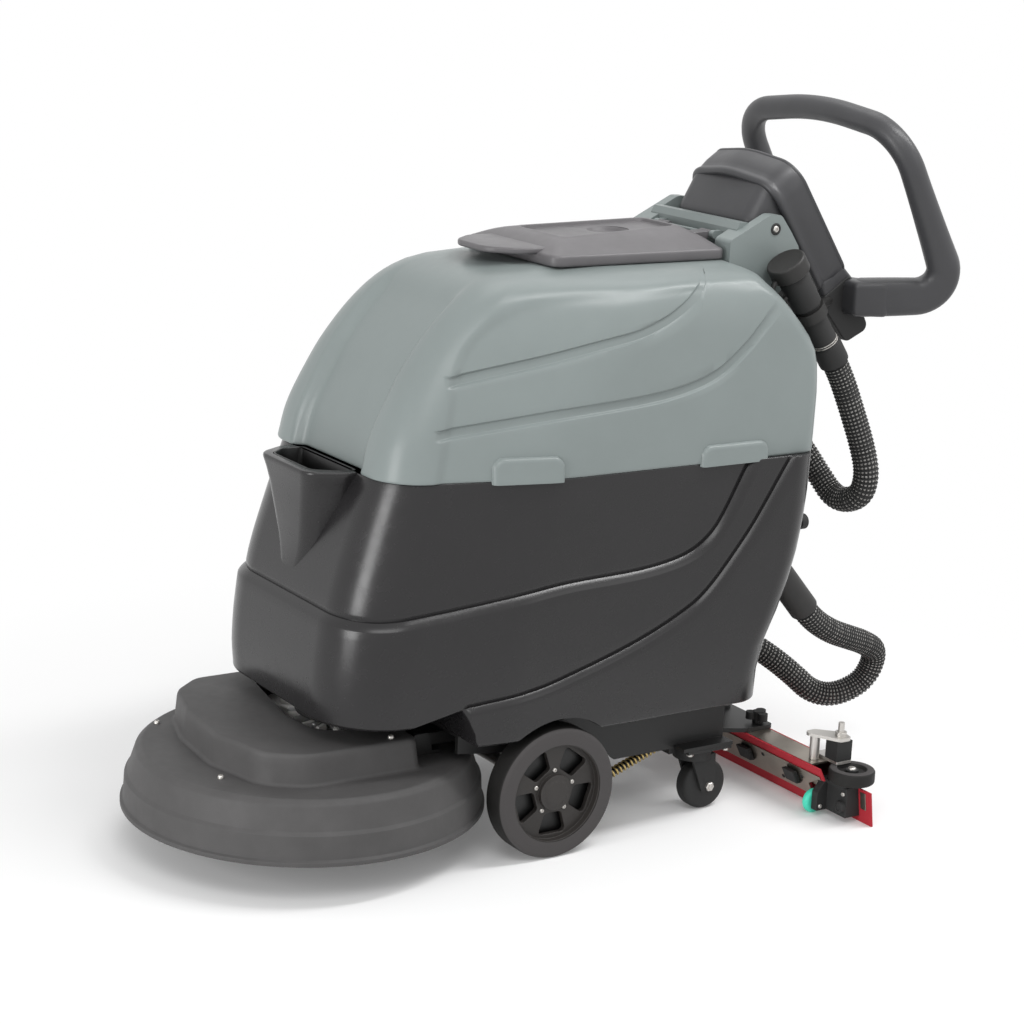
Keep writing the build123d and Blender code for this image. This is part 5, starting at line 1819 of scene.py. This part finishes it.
@dataclass
class Console:
    """Console hood with a lipped rim, its front cover, panel, wiring box and loop handle."""

    origin: tuple[float, float, float] = (-436.5, 0.0, 907.5)
    half: float = 110.0
    half_height: float = 109.4
    handle_route: tuple[Point, ...] = (
        (-496.0, 114.0, 782.0), (-643.0, 192.0, 790.0), (-505.0, 192.0, 1046.0),
        (-503.0, 0.0, 1070.0), (-505.0, -192.0, 1046.0), (-643.0, -192.0, 790.0),
        (-496.0, -114.0, 782.0),
    )

    def frame(self) -> Matrix:
        """Find the place of the operator's face.

        Returns:
            The place, with z towards the operator.
        """
        rise = Vector((123.0, 0.0, 181.0)).normalized()
        across = Vector((0.0, -1.0, 0.0))
        turn = Matrix((across, rise, across.cross(rise))).transposed()
        return Matrix.Translation(Vector(self.origin)) @ turn.to_4x4()

    def ring(self, amount: float, level: float) -> list[Vector]:
        """Draw the hood's arched outline.

        Args:
            amount: How far the outline is moved in.
            level: How far it stands towards the operator.

        Returns:
            The outline's points.
        """
        wide = self.half - amount
        foot = -self.half_height + amount
        shoulder = self.half_height - 5 - amount
        outline = [(-wide, foot), (wide, foot), (wide, shoulder), (0, shoulder + 16), (-wide, shoulder)]
        low = max(26 - amount, 4)
        high = max(44 - amount, 6)
        line = rounded(outline, [low, low, high, 200, high], 10)
        place = self.frame()
        return [place @ Vector((point.x, point.y, level)) for point in line]

    def build(self) -> None:
        """Build the console and its handle."""
        steps = [(30, -50), (15.5, -50.6), (13.4, -51.6), (12.6, -54), (11.4, -57.2), (9, -59.4)]
        steps += [(6, -60), (3.2, -59), (1.2, -56.6), (0.5, -53.6), (1.2, -50), (2.4, -47), (2.6, -44)]
        steps += [(1.6, -37), (0.5, -28), (0.5, -9), (1.0, -7), (1.2, -5.6), (0.2, -4.2), (0.2, -2)]
        steps += [(1.2, -0.5), (3.4, 0), (8.4, 0), (10.2, -0.8), (11, -3), (11.2, -23.8)]
        rim = loft("hood_rim", [self.ring(amount, level) for amount, level in steps], 40)
        profile = [(-336, 969), (-300, 906), (-308, 866), (-421, 815), (-452, 838), (-368, 958)]
        cover = pillow("hood_cover", profile, [4, 26, 20, 6, 6, 8], (-97.0, 97.0), 24.0, on_flank)
        hood = joined("console_hood_shell", [rim, cover], 40)
        set_in_place(hood, "machine", Finishes.handle_grey, "handle_grey", "console_hood")
        rounded_copy("wiring_box", "machine", Finishes.black_plastic, "black_plastic", 2.5, 3)
        path = evenly(rounded(self.handle_route, [0, 42, 75, 600, 75, 42, 0], 14, closed=False), 5.0)
        section = self.grip_section(path_length(path))
        handle = sweep("loop_handle", path, section, Vector((0.0, 0.0, 1.0)))
        root_plan = [(-487, 60), (-487, 138), (-540, 166), (-552, 142), (-515, 66)]
        root = pillow("arm_root", root_plan, [8, 9, 14, 12, 16], (755.0, 810.0), 10.0, on_plan)
        riser_side = [(-440, 808), (-484, 836), (-516, 806), (-516, 778), (-452, 776)]
        riser = pillow("arm_riser", riser_side, [6, 6, 14, 6, 6], (72.0, 107.5), 9.0, on_flank)
        roots = [root, riser, mirrored("arm_root_right", root), mirrored("arm_riser_right", riser)]
        handle = joined("loop_handle_rooted", [handle, *roots], 40)
        set_in_place(handle, "machine", Finishes.handle_grey, "handle_grey", "handle")
        self.panel()

    @staticmethod
    def grip_section(length: float) -> Callable[[float], list[Point]]:
        """Make the rule of the handle's section, thick at the roots.

        Args:
            length: Length of the handle.

        Returns:
            A function that gives the section for a share of the length.
        """
        wide = Track(
            ((0, 25), (60, 24.5), (110, 23.6), (180, 22.4), (280, 20.2), (400, 19.4), (900, 19.4))
        )
        tall = Track(
            ((0, 30), (60, 29.6), (110, 28.6), (170, 26.4))
            + ((240, 23.2), (320, 20.4), (410, 19.5), (900, 19.4))
        )

        def section(share: float) -> list[Point]:
            """Draw the section at one place.

            Args:
                share: Share of the handle's length.

            Returns:
                The section's points.
            """
            away = min(share, 1 - share) * length
            dome = math.sqrt(1 - (1 - min(1.0, (away + 1.0) / 22.0)) ** 2)
            power = 2.0 + 1.6 * (1 - ease(60, 250, away))
            return oval(wide.value(away) * dome, tall.value(away) * dome, power, 40)

        return section

    def panel(self) -> None:
        """Dress the panel, its buttons and key, and add its charge lights."""
        dress(Finishes.matt_black, "control_panel")
        rounded_copy("key_switch", "key", Finishes.bright_steel, "bright_steel", 0.8)
        place = self.frame()
        switches = (("brush", -45.0), ("vacuum", 0.0), ("water", 45.0))
        for name, _ in switches:
            rounded_copy(name + "_button", name + "_switch", Finishes.button, "button_face", 1.4, 3)
        bezel = [(9.6, -20), (13, -20), (13, -18.4), (12, -17.4), (10.4, -17.4), (9.6, -18.2)]
        for name, across in switches:
            spot = place @ Matrix.Translation((across, 0, 0))
            ring = lathe("button_ring_" + name, bezel, spot, 40)
            set_in_place(ring, "machine", Finishes.bright_steel, "bright_steel")
        lights = []

        def on_face(first: float, second: float, level: float) -> Point:
            """Place a point of the operator's face."""
            return place @ Vector((first, second, level))

        for step in range(5):
            middle = (step - 2) * 15.0
            bar = [(middle - 5, 46), (middle + 5, 46), (middle + 5, 58), (middle - 5, 58)]
            lights.append(pillow("light", bar, [2] * 4, (-17.5, -16.3), 0.5, on_face))
        set_in_place(joined("charge_lights", lights), "machine", Finishes.turquoise, "turquoise")


@dataclass
class DrainLine:
    """Drain pipe with its cap, tether ring and clip."""

    foot: tuple[float, float, float] = (-432.0, 165.0, 693.0)
    top: tuple[float, float, float] = (-325.0, 165.0, 847.0)
    tether: tuple[float, float, float] = (-315.0, 165.0, 810.0)
    tether_radius: float = 16.0
    tether_room: float = 25.6

    def build(self) -> None:
        """Build the pipe and its cap."""
        axis = (Vector(self.top) - Vector(self.foot)).normalized()
        length = (Vector(self.top) - Vector(self.foot)).length
        outline = [(18, 0), (22.6, 0), (23.4, 0.8), (23.8, 6), (23.8, 33), (23.2, 34.6)]
        outline += [(21.4, 35.4), (20.5, 37), (20.5, 111), (22.8, 112), (24, 113.4)]
        outline += [(24, length - 17.4), (23.4, length - 16.4), (20.4, length - 16.3)]
        outline += [(20.4, length), (18, length)]
        pipe = lathe("drain_tube", outline, on_axis(self.foot, axis), 56)
        set_in_place(pipe, "machine", Finishes.black_plastic, "black_plastic", "drain_pipe")
        wires = []
        for start in (38.4, 42.0):
            section = ((20.2, 0.0), (21.5, 0.3), (21.7, 0.9), (21.5, 1.5), (20.2, 1.8))
            wire = [(radius, start + along) for radius, along in section]
            wires.append(lathe("wire", wire, on_axis(self.foot, axis), 56))
        set_in_place(joined("hose_clamp_wires", wires), "machine", Finishes.bright_steel, "bright_steel")
        rounded_copy("hose_clip", "machine", Finishes.matt_black, "black_plastic", 1.5)
        shell = [(20.6, -16), (29.4, -16), (30.6, -15), (31, -13.6), (31, 5.4), (30.6, 7.4)]
        shell += [(29.4, 8.7), (27.6, 9), (26.4, 8.6), (25.4, 8.2), (0, 8.2), (0, 0.4), (20.6, 0.4)]
        cap = lathe("cap", shell, on_axis(self.top, axis), 72)
        middle = Vector(self.tether)
        arc = []
        for step in range(81):
            turn = 2 * math.pi * step / 80
            spot = middle + Vector((math.cos(turn), 0, math.sin(turn))) * self.tether_radius
            reach = spot - Vector(self.foot)
            if (reach - axis * reach.dot(axis)).length > self.tether_room:
                arc.append(spot)
        across = Vector((-axis.z, 0.0, axis.x))
        arc.sort(key=lambda spot: math.atan2((spot - middle).dot(axis), -(spot - middle).dot(across)))
        ring = sweep("pull", arc, lambda share: oval(3.4, 4.4, 2.6, 16), Vector((0.0, 1.0, 0.0)))
        whole = joined("drain_cap_ring", [cap, ring])
        set_in_place(whole, "drain_plug", Finishes.matt_black, "black_plastic", "drain_cap")


# Deck, wheels and squeegee


@dataclass
class BrushDeck:
    """Round deck cover with a plateau, studs, cast gear housing and the brush."""

    centre: float = 389.7
    motor_x: float = MOTOR_X
    window_front: float = 423.0
    window_rear: float = 236.0
    window_left: float = 97.0
    window_right: float = -168.0
    tuft_rows: tuple[float, ...] = (102, 124, 146, 168, 190, 212, 234)
    tuft_pitch: float = 21.0
    strands: int = 6
    strand_top: float = 92.0
    strand_tip: float = 55.2

    def plateau_ring(self, grow: float, height: float) -> list[Point]:
        """Draw the plateau's outline.

        Args:
            grow: How far the outline is moved out.
            height: Height of the outline.

        Returns:
            The outline's points.
        """
        lean = grow * 0.7
        left = [(297 - grow, 174 + grow), (478, 170 + grow), (528 + lean, 132 + lean), (552 + grow, 30)]
        right = [(543 + grow, -85), (518 + lean, -172 - lean)]
        right += [(468, -212 - grow), (297 - grow, -212 - grow)]
        return flat_ring(rounded(left + right, [14, 80, 60, 60, 60, 50, 40, 14], 10), height)

    def build(self) -> None:
        """Build the cover, its window, its studs and what it hides."""
        outer = [(238, 150), (247, 143), (258, 109), (262.4, 104), (264.4, 70), (268.6, 67.5), (268.6, 61)]
        inner = [(257, 61), (255, 101), (240, 137), (232, 143), (60, 143)]
        radii = [9, 9, 5, 2.5, 2.0, 1.6, 1.2, 0.8, 3, 6, 6, 1, 1]
        outline = rounded([*outer, *inner, (60, 150)], radii, 5)
        skirt = lathe("skirt", outline, Matrix.Translation((self.centre, 0, 0)), 160)
        steps = [(9, 146), (9, 150), (6.2, 150.6), (4.4, 152.2), (3, 155), (0.4, 178)]
        steps += [(-0.4, 187), (-1.2, 191), (-2.6, 194), (-4.6, 195.5), (-7, 196)]
        plateau = loft("plateau", [self.plateau_ring(grow, height) for grow, height in steps], 40)
        corners = [
            (self.window_rear, self.window_right),
            (self.window_front - 30, self.window_right),
            (self.window_front, 0.0),
            (self.window_front - 8, self.window_left),
            (self.window_rear, self.window_left),
        ]
        plan = rounded(corners, [60, 36, 90, 44, 60], 12)
        for target in (skirt, plateau):
            cut(target, prism("window", plan, 138.0, 230.0))
            shade(target, 40)
        cover = joined("deck_cover_shell", [skirt, plateau], 40)
        set_in_place(cover, "deck", Finishes.deck_grey, "deck_grey", "deck_cover")
        for index, spot in enumerate(((552, -162, 150), (568, 86, 150), (335, 157, 196), (335, -195, 196))):
            stud = screw_head(f"deck_stud_{index}", spot, (0, 0, 1), 4.6, 4.4, 1.8)
            set_in_place(stud, "deck", Finishes.bright_steel, "bright_steel")
        rounded_copy("gear_housing", "deck", Finishes.cast, "cast_alloy", 1.6)
        self.gear_plate()
        rounded_copy("brush_motor", "deck", Finishes.motor, "motor_case", 3.0)
        dress(Finishes.black_steel, "deck_hangers")
        dress(Finishes.hub_black, "brush_hub", "brush_block")
        self.tufts()

    def gear_plate(self) -> None:
        """Build the ribbed casting that shows through the window around the motor, near white as painted
        light.
        """
        corners = [(290, -158), (384, -158), (414, 0), (406, 88), (290, 88)]
        parts = [pillow("gear_web", corners, [30, 30, 84, 38, 30], (152.0, 172.0), 5.0, on_plan)]
        for step in range(9):
            turn = math.radians(-105 + 20 * step)
            out = Vector((math.cos(turn), math.sin(turn)))
            side = Vector((-out.y, out.x)) * 3.5
            near = Vector((self.motor_x, 0)) + out * 56
            far = Vector((self.motor_x, 0)) + out * (80 if step > 3 else 112)
            outline = [near - side, far - side, far + side, near + side]
            parts.append(pillow("gear_rib", outline, [2] * 4, (165.0, 186.0), 2.0, on_plan))
        set_in_place(joined("gear_casting", parts, 40), "deck", Finishes.gear, "cast_alloy")

    def tufts(self) -> None:
        """Build the brush's tufts in rings."""
        points: list[Point] = []
        faces: list[tuple[int, ...]] = []
        for row, radius in enumerate(self.tuft_rows):
            count = int(2 * math.pi * radius / self.tuft_pitch)
            for step in range(count):
                turn = 2 * math.pi * (step + 0.5 * (row % 2)) / count
                for strand in range(self.strands):
                    lean = 2 * math.pi * strand / self.strands
                    base = Vector((radius * math.cos(turn), radius * math.sin(turn), 0))
                    out = Vector((math.cos(lean), math.sin(lean), 0))
                    reach = 1.0 + 0.18 * math.sin(7.0 * step + 2.0 * strand)
                    first = len(points)
                    ends = ((2.0, self.strand_top, 1.7, 0.0), (5.2 * reach, self.strand_tip, 1.3, 4.0))
                    for foot, height, wide, splay in ends:
                        middle = base + out * foot + base.normalized() * splay
                        for corner in range(4):
                            spin = math.pi / 2 * corner
                            spot = middle + Vector((math.cos(spin), math.sin(spin), 0)) * wide
                            points.append((spot.x + self.centre, spot.y, height))
                    for corner in range(4):
                        ahead = first + (corner + 1) % 4
                        faces.append((first + corner, ahead, ahead + 4, first + 4 + corner))
                    faces.append((first + 4, first + 5, first + 6, first + 7))
                    faces.append((first + 3, first + 2, first + 1, first))
        tufts = solid("brush_tufts", points, faces, 60)
        set_in_place(tufts, "brush", Finishes.bristle, "bristle", "bristles")


@dataclass
class RunningGear:
    """Drive wheels, casters, chassis, lift arms and lift spring."""

    axle: tuple[float, float] = (AXLE_X, AXLE_Z)
    wheel_middle: float = 220.5
    hub_face: float = 229.8
    screw_circle: float = 33.0
    caster_x: float = -222.0
    caster_y: float = 167.0
    caster_z: float = 40.0
    spring_front: tuple[float, float, float] = (-22.05, 150.0, 61.36)
    spring_rear: tuple[float, float, float] = (-156.5, 150.0, 109.0)
    coils: int = 20
    coil_radius: float = 6.6
    wire_radius: float = 1.7

    def build(self) -> None:
        """Build everything that the machine rolls on."""
        for side in Side:
            self.wheel(side)
            self.caster(side)
        rounded_copy("chassis_frame", "machine", Finishes.black_steel, "black_steel", 1.4)
        rounded_copy("caster_plates", "machine", Finishes.black_steel, "black_steel", 1.2)
        rounded_copy("lift_arms", "lift", Finishes.black_steel, "black_steel", 1.2)
        dress(Finishes.bright_steel, "drive_axle")
        self.spring()

    def wheel(self, side: Side) -> None:
        """Build one drive wheel with its screws.

        Args:
            side: Side of the machine.
        """
        label, flank = side.label, side.value
        body = label + "_wheel"
        place = on_axis((self.axle[0], self.wheel_middle * flank, self.axle[1]), (0, flank, 0))
        corners = [(82.1, -21.5), (100, -21.5), (100, 21.5), (74.6, 21.5), (74.6, 20.1), (82.1, 20.1)]
        tyre = lathe(label + "_tyre_ring", rounded(corners, [1, 7, 7, 0.6, 0.3, 0.1], 6), place, 128)
        set_in_place(tyre, body, Finishes.tyre, "tyre_rubber", label + "_tyre")
        tyre.data.materials.append(Finishes.tread.material())
        for face in tyre.data.polygons:
            if abs(face.normal.y) < 0.55:
                face.material_index = 1
        rounded_copy(label + "_hub", body, Finishes.hub_black, "hub_black", 1.6, 3)
        # A near-black disc behind the hub's windows: painted shade seen through them.
        web = [(20, -8), (74.5, -8), (74.5, -5), (60, -4), (40, -4.4), (20, -5)]
        shade_backing = lathe(label + "_hub_web", web, place, 72)
        set_in_place(shade_backing, body, Finishes.near_black_shade, "hub_black")
        heads = []
        for step in range(5):
            turn = math.radians(90 + 36 + 72 * step)
            x = self.axle[0] + self.screw_circle * math.cos(turn)
            z = self.axle[1] - self.screw_circle * math.sin(turn)
            spot = (x, self.hub_face * flank, z)
            heads.append(screw_head("hub_screw", spot, (0, flank, 0), 3.6, 2.2, 1.5))
        set_in_place(joined(label + "_hub_screws", heads), body, Finishes.bright_steel, "bright_steel")

    def caster(self, side: Side) -> None:
        """Build one caster with its bolts.

        Args:
            side: Side of the machine.
        """
        label, flank = side.label, side.value
        body = label + "_caster"
        rounded_copy(body + "_fork", body, Finishes.black_plastic, "black_steel", 1.6, 3)
        x, y, z = self.caster_x, self.caster_y * flank, self.caster_z
        place = on_axis((x, y, z), (0, flank, 0))
        corners = [(5.1, -16), (11, -16), (30, -14), (40, -13), (40, 13), (30, 14), (11, 16), (5.1, 16)]
        wheel = lathe(body + "_roller", rounded(corners, [0.5, 2, 4, 8, 8, 4, 2, 0.5], 5), place, 72)
        set_in_place(wheel, body + "_roll", Finishes.black_plastic, "hub_black", body + "_wheel")
        bolts = []
        for face in (1, -1):
            axis = (0, face, 0)
            bolts.append(hex_head("caster_nut", (x, y + face * 22, z), axis, 7.6, 5))
            bolts.append(screw_head("caster_end", (x, y + face * 26.5, z), axis, 4.2, 2.0, 0))
        set_in_place(joined(body + "_bolts", bolts, 30), body, Finishes.bright_steel, "bright_steel")
        heads = []
        for along in (-244, -176):
            for across in (138, 196):
                heads.append(hex_head("plate_bolt", (along, across * flank, 103), (0, 0, -1), 5.6, 4))
        plate_bolts = joined(label + "_plate_bolts", heads, 30)
        set_in_place(plate_bolts, "machine", Finishes.bright_steel, "bright_steel")

    def spring(self) -> None:
        """Build the lift spring as a coil of wire."""
        front = Vector(self.spring_front)
        rear = Vector(self.spring_rear)
        axis = (rear - front).normalized()
        across = Vector((0.0, 1.0, 0.0))
        rise = axis.cross(across)
        path = []
        steps = self.coils * 20
        for step in range(steps + 1):
            turn = 2 * math.pi * self.coils * step / steps
            along = front + (rear - front) * (step / steps)
            path.append(along + (across * math.cos(turn) + rise * math.sin(turn)) * self.coil_radius)
        wire = oval(self.wire_radius, self.wire_radius, 2.0, 10)
        coil = sweep("lift_spring_coil", path, lambda share: wire, axis.copy())
        coil.data.materials.append(Finishes.spring.material())
        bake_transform(coil)
        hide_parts("lift_spring")


@dataclass
class Squeegee:
    """Squeegee with blades, straps, knobs, bumper rollers and support wheels."""

    roller: tuple[float, float] = (-400.0, 317.0)
    support: tuple[float, float] = (-368.0, 268.0)

    def build(self) -> None:
        """Build the squeegee and what rolls on it."""
        for node, finish, slot, edge in (
            ("squeegee_body", Finishes.stainless, "stainless", 0.8),
            ("blade_straps", Finishes.stainless, "stainless", 0.5),
            ("front_blade", Finishes.red, "red_rubber", 0.7),
            ("rear_blade", Finishes.red, "red_rubber", 0.7),
            ("squeegee_bracket", Finishes.black_steel, "black_steel", 1.6),
            ("strap_clamps", Finishes.black_plastic, "black_plastic", 2.0),
            ("roller_brackets", Finishes.bright_steel, "bright_steel", 0.7),
            ("adjuster_blocks", Finishes.black_plastic, "black_plastic", 2.4),
            ("support_brackets", Finishes.black_plastic, "black_plastic", 1.6),
        ):
            rounded_copy(node, "squeegee", finish, slot, edge)
        for side in Side:
            self.bumper(side)
            self.fittings(side)
            knob = side.label + "_knob"
            body = side.label + "_clamp_knob"
            rounded_copy(knob, body, Finishes.black_plastic, "black_plastic", 1.8, 3)

    def bumper(self, side: Side) -> None:
        """Build one bumper roller and one support wheel.

        Args:
            side: Side of the machine.
        """
        label, flank = side.label, side.value
        x, y = self.roller[0], self.roller[1] * flank
        place = Matrix.Translation((x, y, 0))
        corners = [(6.1, 63), (18, 63), (20, 62), (36, 62), (36, 84), (24, 84), (21, 78)]
        corners += [(11, 78), (10.6, 77.6), (6.1, 77.6)]
        outline = rounded(corners, [0.4, 0.8, 0.8, 4.5, 4.5, 2.0, 1.6, 0.3, 0.3, 0.4], 5)
        wheel = lathe(label + "_bumper_roller", outline, place, 80)
        set_in_place(wheel, label + "_bumper", Finishes.tyre, "tyre_rubber", label + "_roller")
        wheel.data.materials.append(Finishes.tread.material())
        for face in wheel.data.polygons:
            reach = (Vector(face.center) / MM - Vector((x, y, 0))).to_2d().length
            if reach > 34 or reach < 23:
                face.material_index = 1
        head = screw_head(label + "_roller_bolt", (x, y, 82), (0, 0, 1), 6.4, 3.0, 2.4)
        set_in_place(head, "squeegee", Finishes.bright_steel, "bright_steel")
        place = on_axis((self.support[0], (self.support[1] + 0.5) * flank, 19.5), (0, flank, 0))
        corners = [(4.1, -6.5), (19.5, -6.5), (19.5, 6.5), (4.1, 6.5)]
        outline = rounded(corners, [0.8, 6.0, 6.0, 0.8], 7)
        wheel = lathe(label + "_support_roller", outline, place, 56)
        set_in_place(wheel, label + "_support", Finishes.turquoise, "turquoise", label + "_support_wheel")

    def fittings(self, side: Side) -> None:
        """Build the screws of one end of the straps and the holder.

        Args:
            side: Side of the machine.
        """
        label, flank = side.label, side.value
        rake = Vector((0.8836, 0.0, -0.4683))
        dark = []
        for along, height in ((48, 45), (150, 58), (188, 32), (244, 52)):
            face = -348 - 0.53 * (84 - height) + 2.3
            dark.append(screw_head("strap_screw", (face, along * flank, height), rake, 3.4, 1.4, 1.4))
        knob = [(0, -1), (9.5, -1), (9.5, 5), (8.4, 7.2), (6.4, 7.8), (5.6, 6.4), (0, 6.4)]
        dark.append(lathe("holder_knob", knob, on_axis((-378, 324 * flank, 27), (1, 0, 0)), 32))
        screws = joined(label + "_strap_screws", dark)
        set_in_place(screws, "squeegee", Finishes.black_plastic, "black_plastic")
        axle_end = (self.support[0] + 3, 289.0 * flank, 17)
        bright = [
            screw_head("axle_screw", axle_end, (0, flank, 0), 3.6, 2.0, 1.4),
            screw_head("holder_screw", (-378, 326 * flank, 47), (1, 0, 0), 3.6, 2.2, 1.4),
        ]
        screws = joined(label + "_holder_screws", bright)
        set_in_place(screws, "squeegee", Finishes.bright_steel, "bright_steel")


@dataclass
class Inside:
    """What the tanks hide, and the small fittings at the rear."""

    def build(self) -> None:
        """Dress the hidden pieces and round the small fittings."""
        dress(Finishes.matt_black, "battery_tray")
        rounded_copy("batteries", "machine", Finishes.battery, "battery_case", 4.0, 3)
        rounded_copy("vacuum_motor", "machine", Finishes.motor, "motor_case", 3.0)
        dress(Finishes.black_plastic, "float_cage")
        rounded_copy("suction_cuff", "machine", Finishes.matt_black, "black_plastic", 1.6)
        rounded_copy("drain_valve_knob", "drain_valve", Finishes.black_plastic, "black_plastic", 2.0, 3)


# The whole machine


def main() -> None:
    """Build every piece in order."""
    logging.basicConfig(level=logging.INFO, format="%(message)s")
    for thing in [thing for thing in bpy.data.objects if thing.name in ("Cube", "Light", "Camera")]:
        bpy.data.objects.remove(thing)
    upper = (Stage, Hoses, LowerTank, UpperTank, TankLid, Yoke, Console, DrainLine)
    lower = (BrushDeck, RunningGear, Squeegee, Inside)
    for assembly in upper + lower:
        assembly().build()


if __name__ == "__main__":
    main()
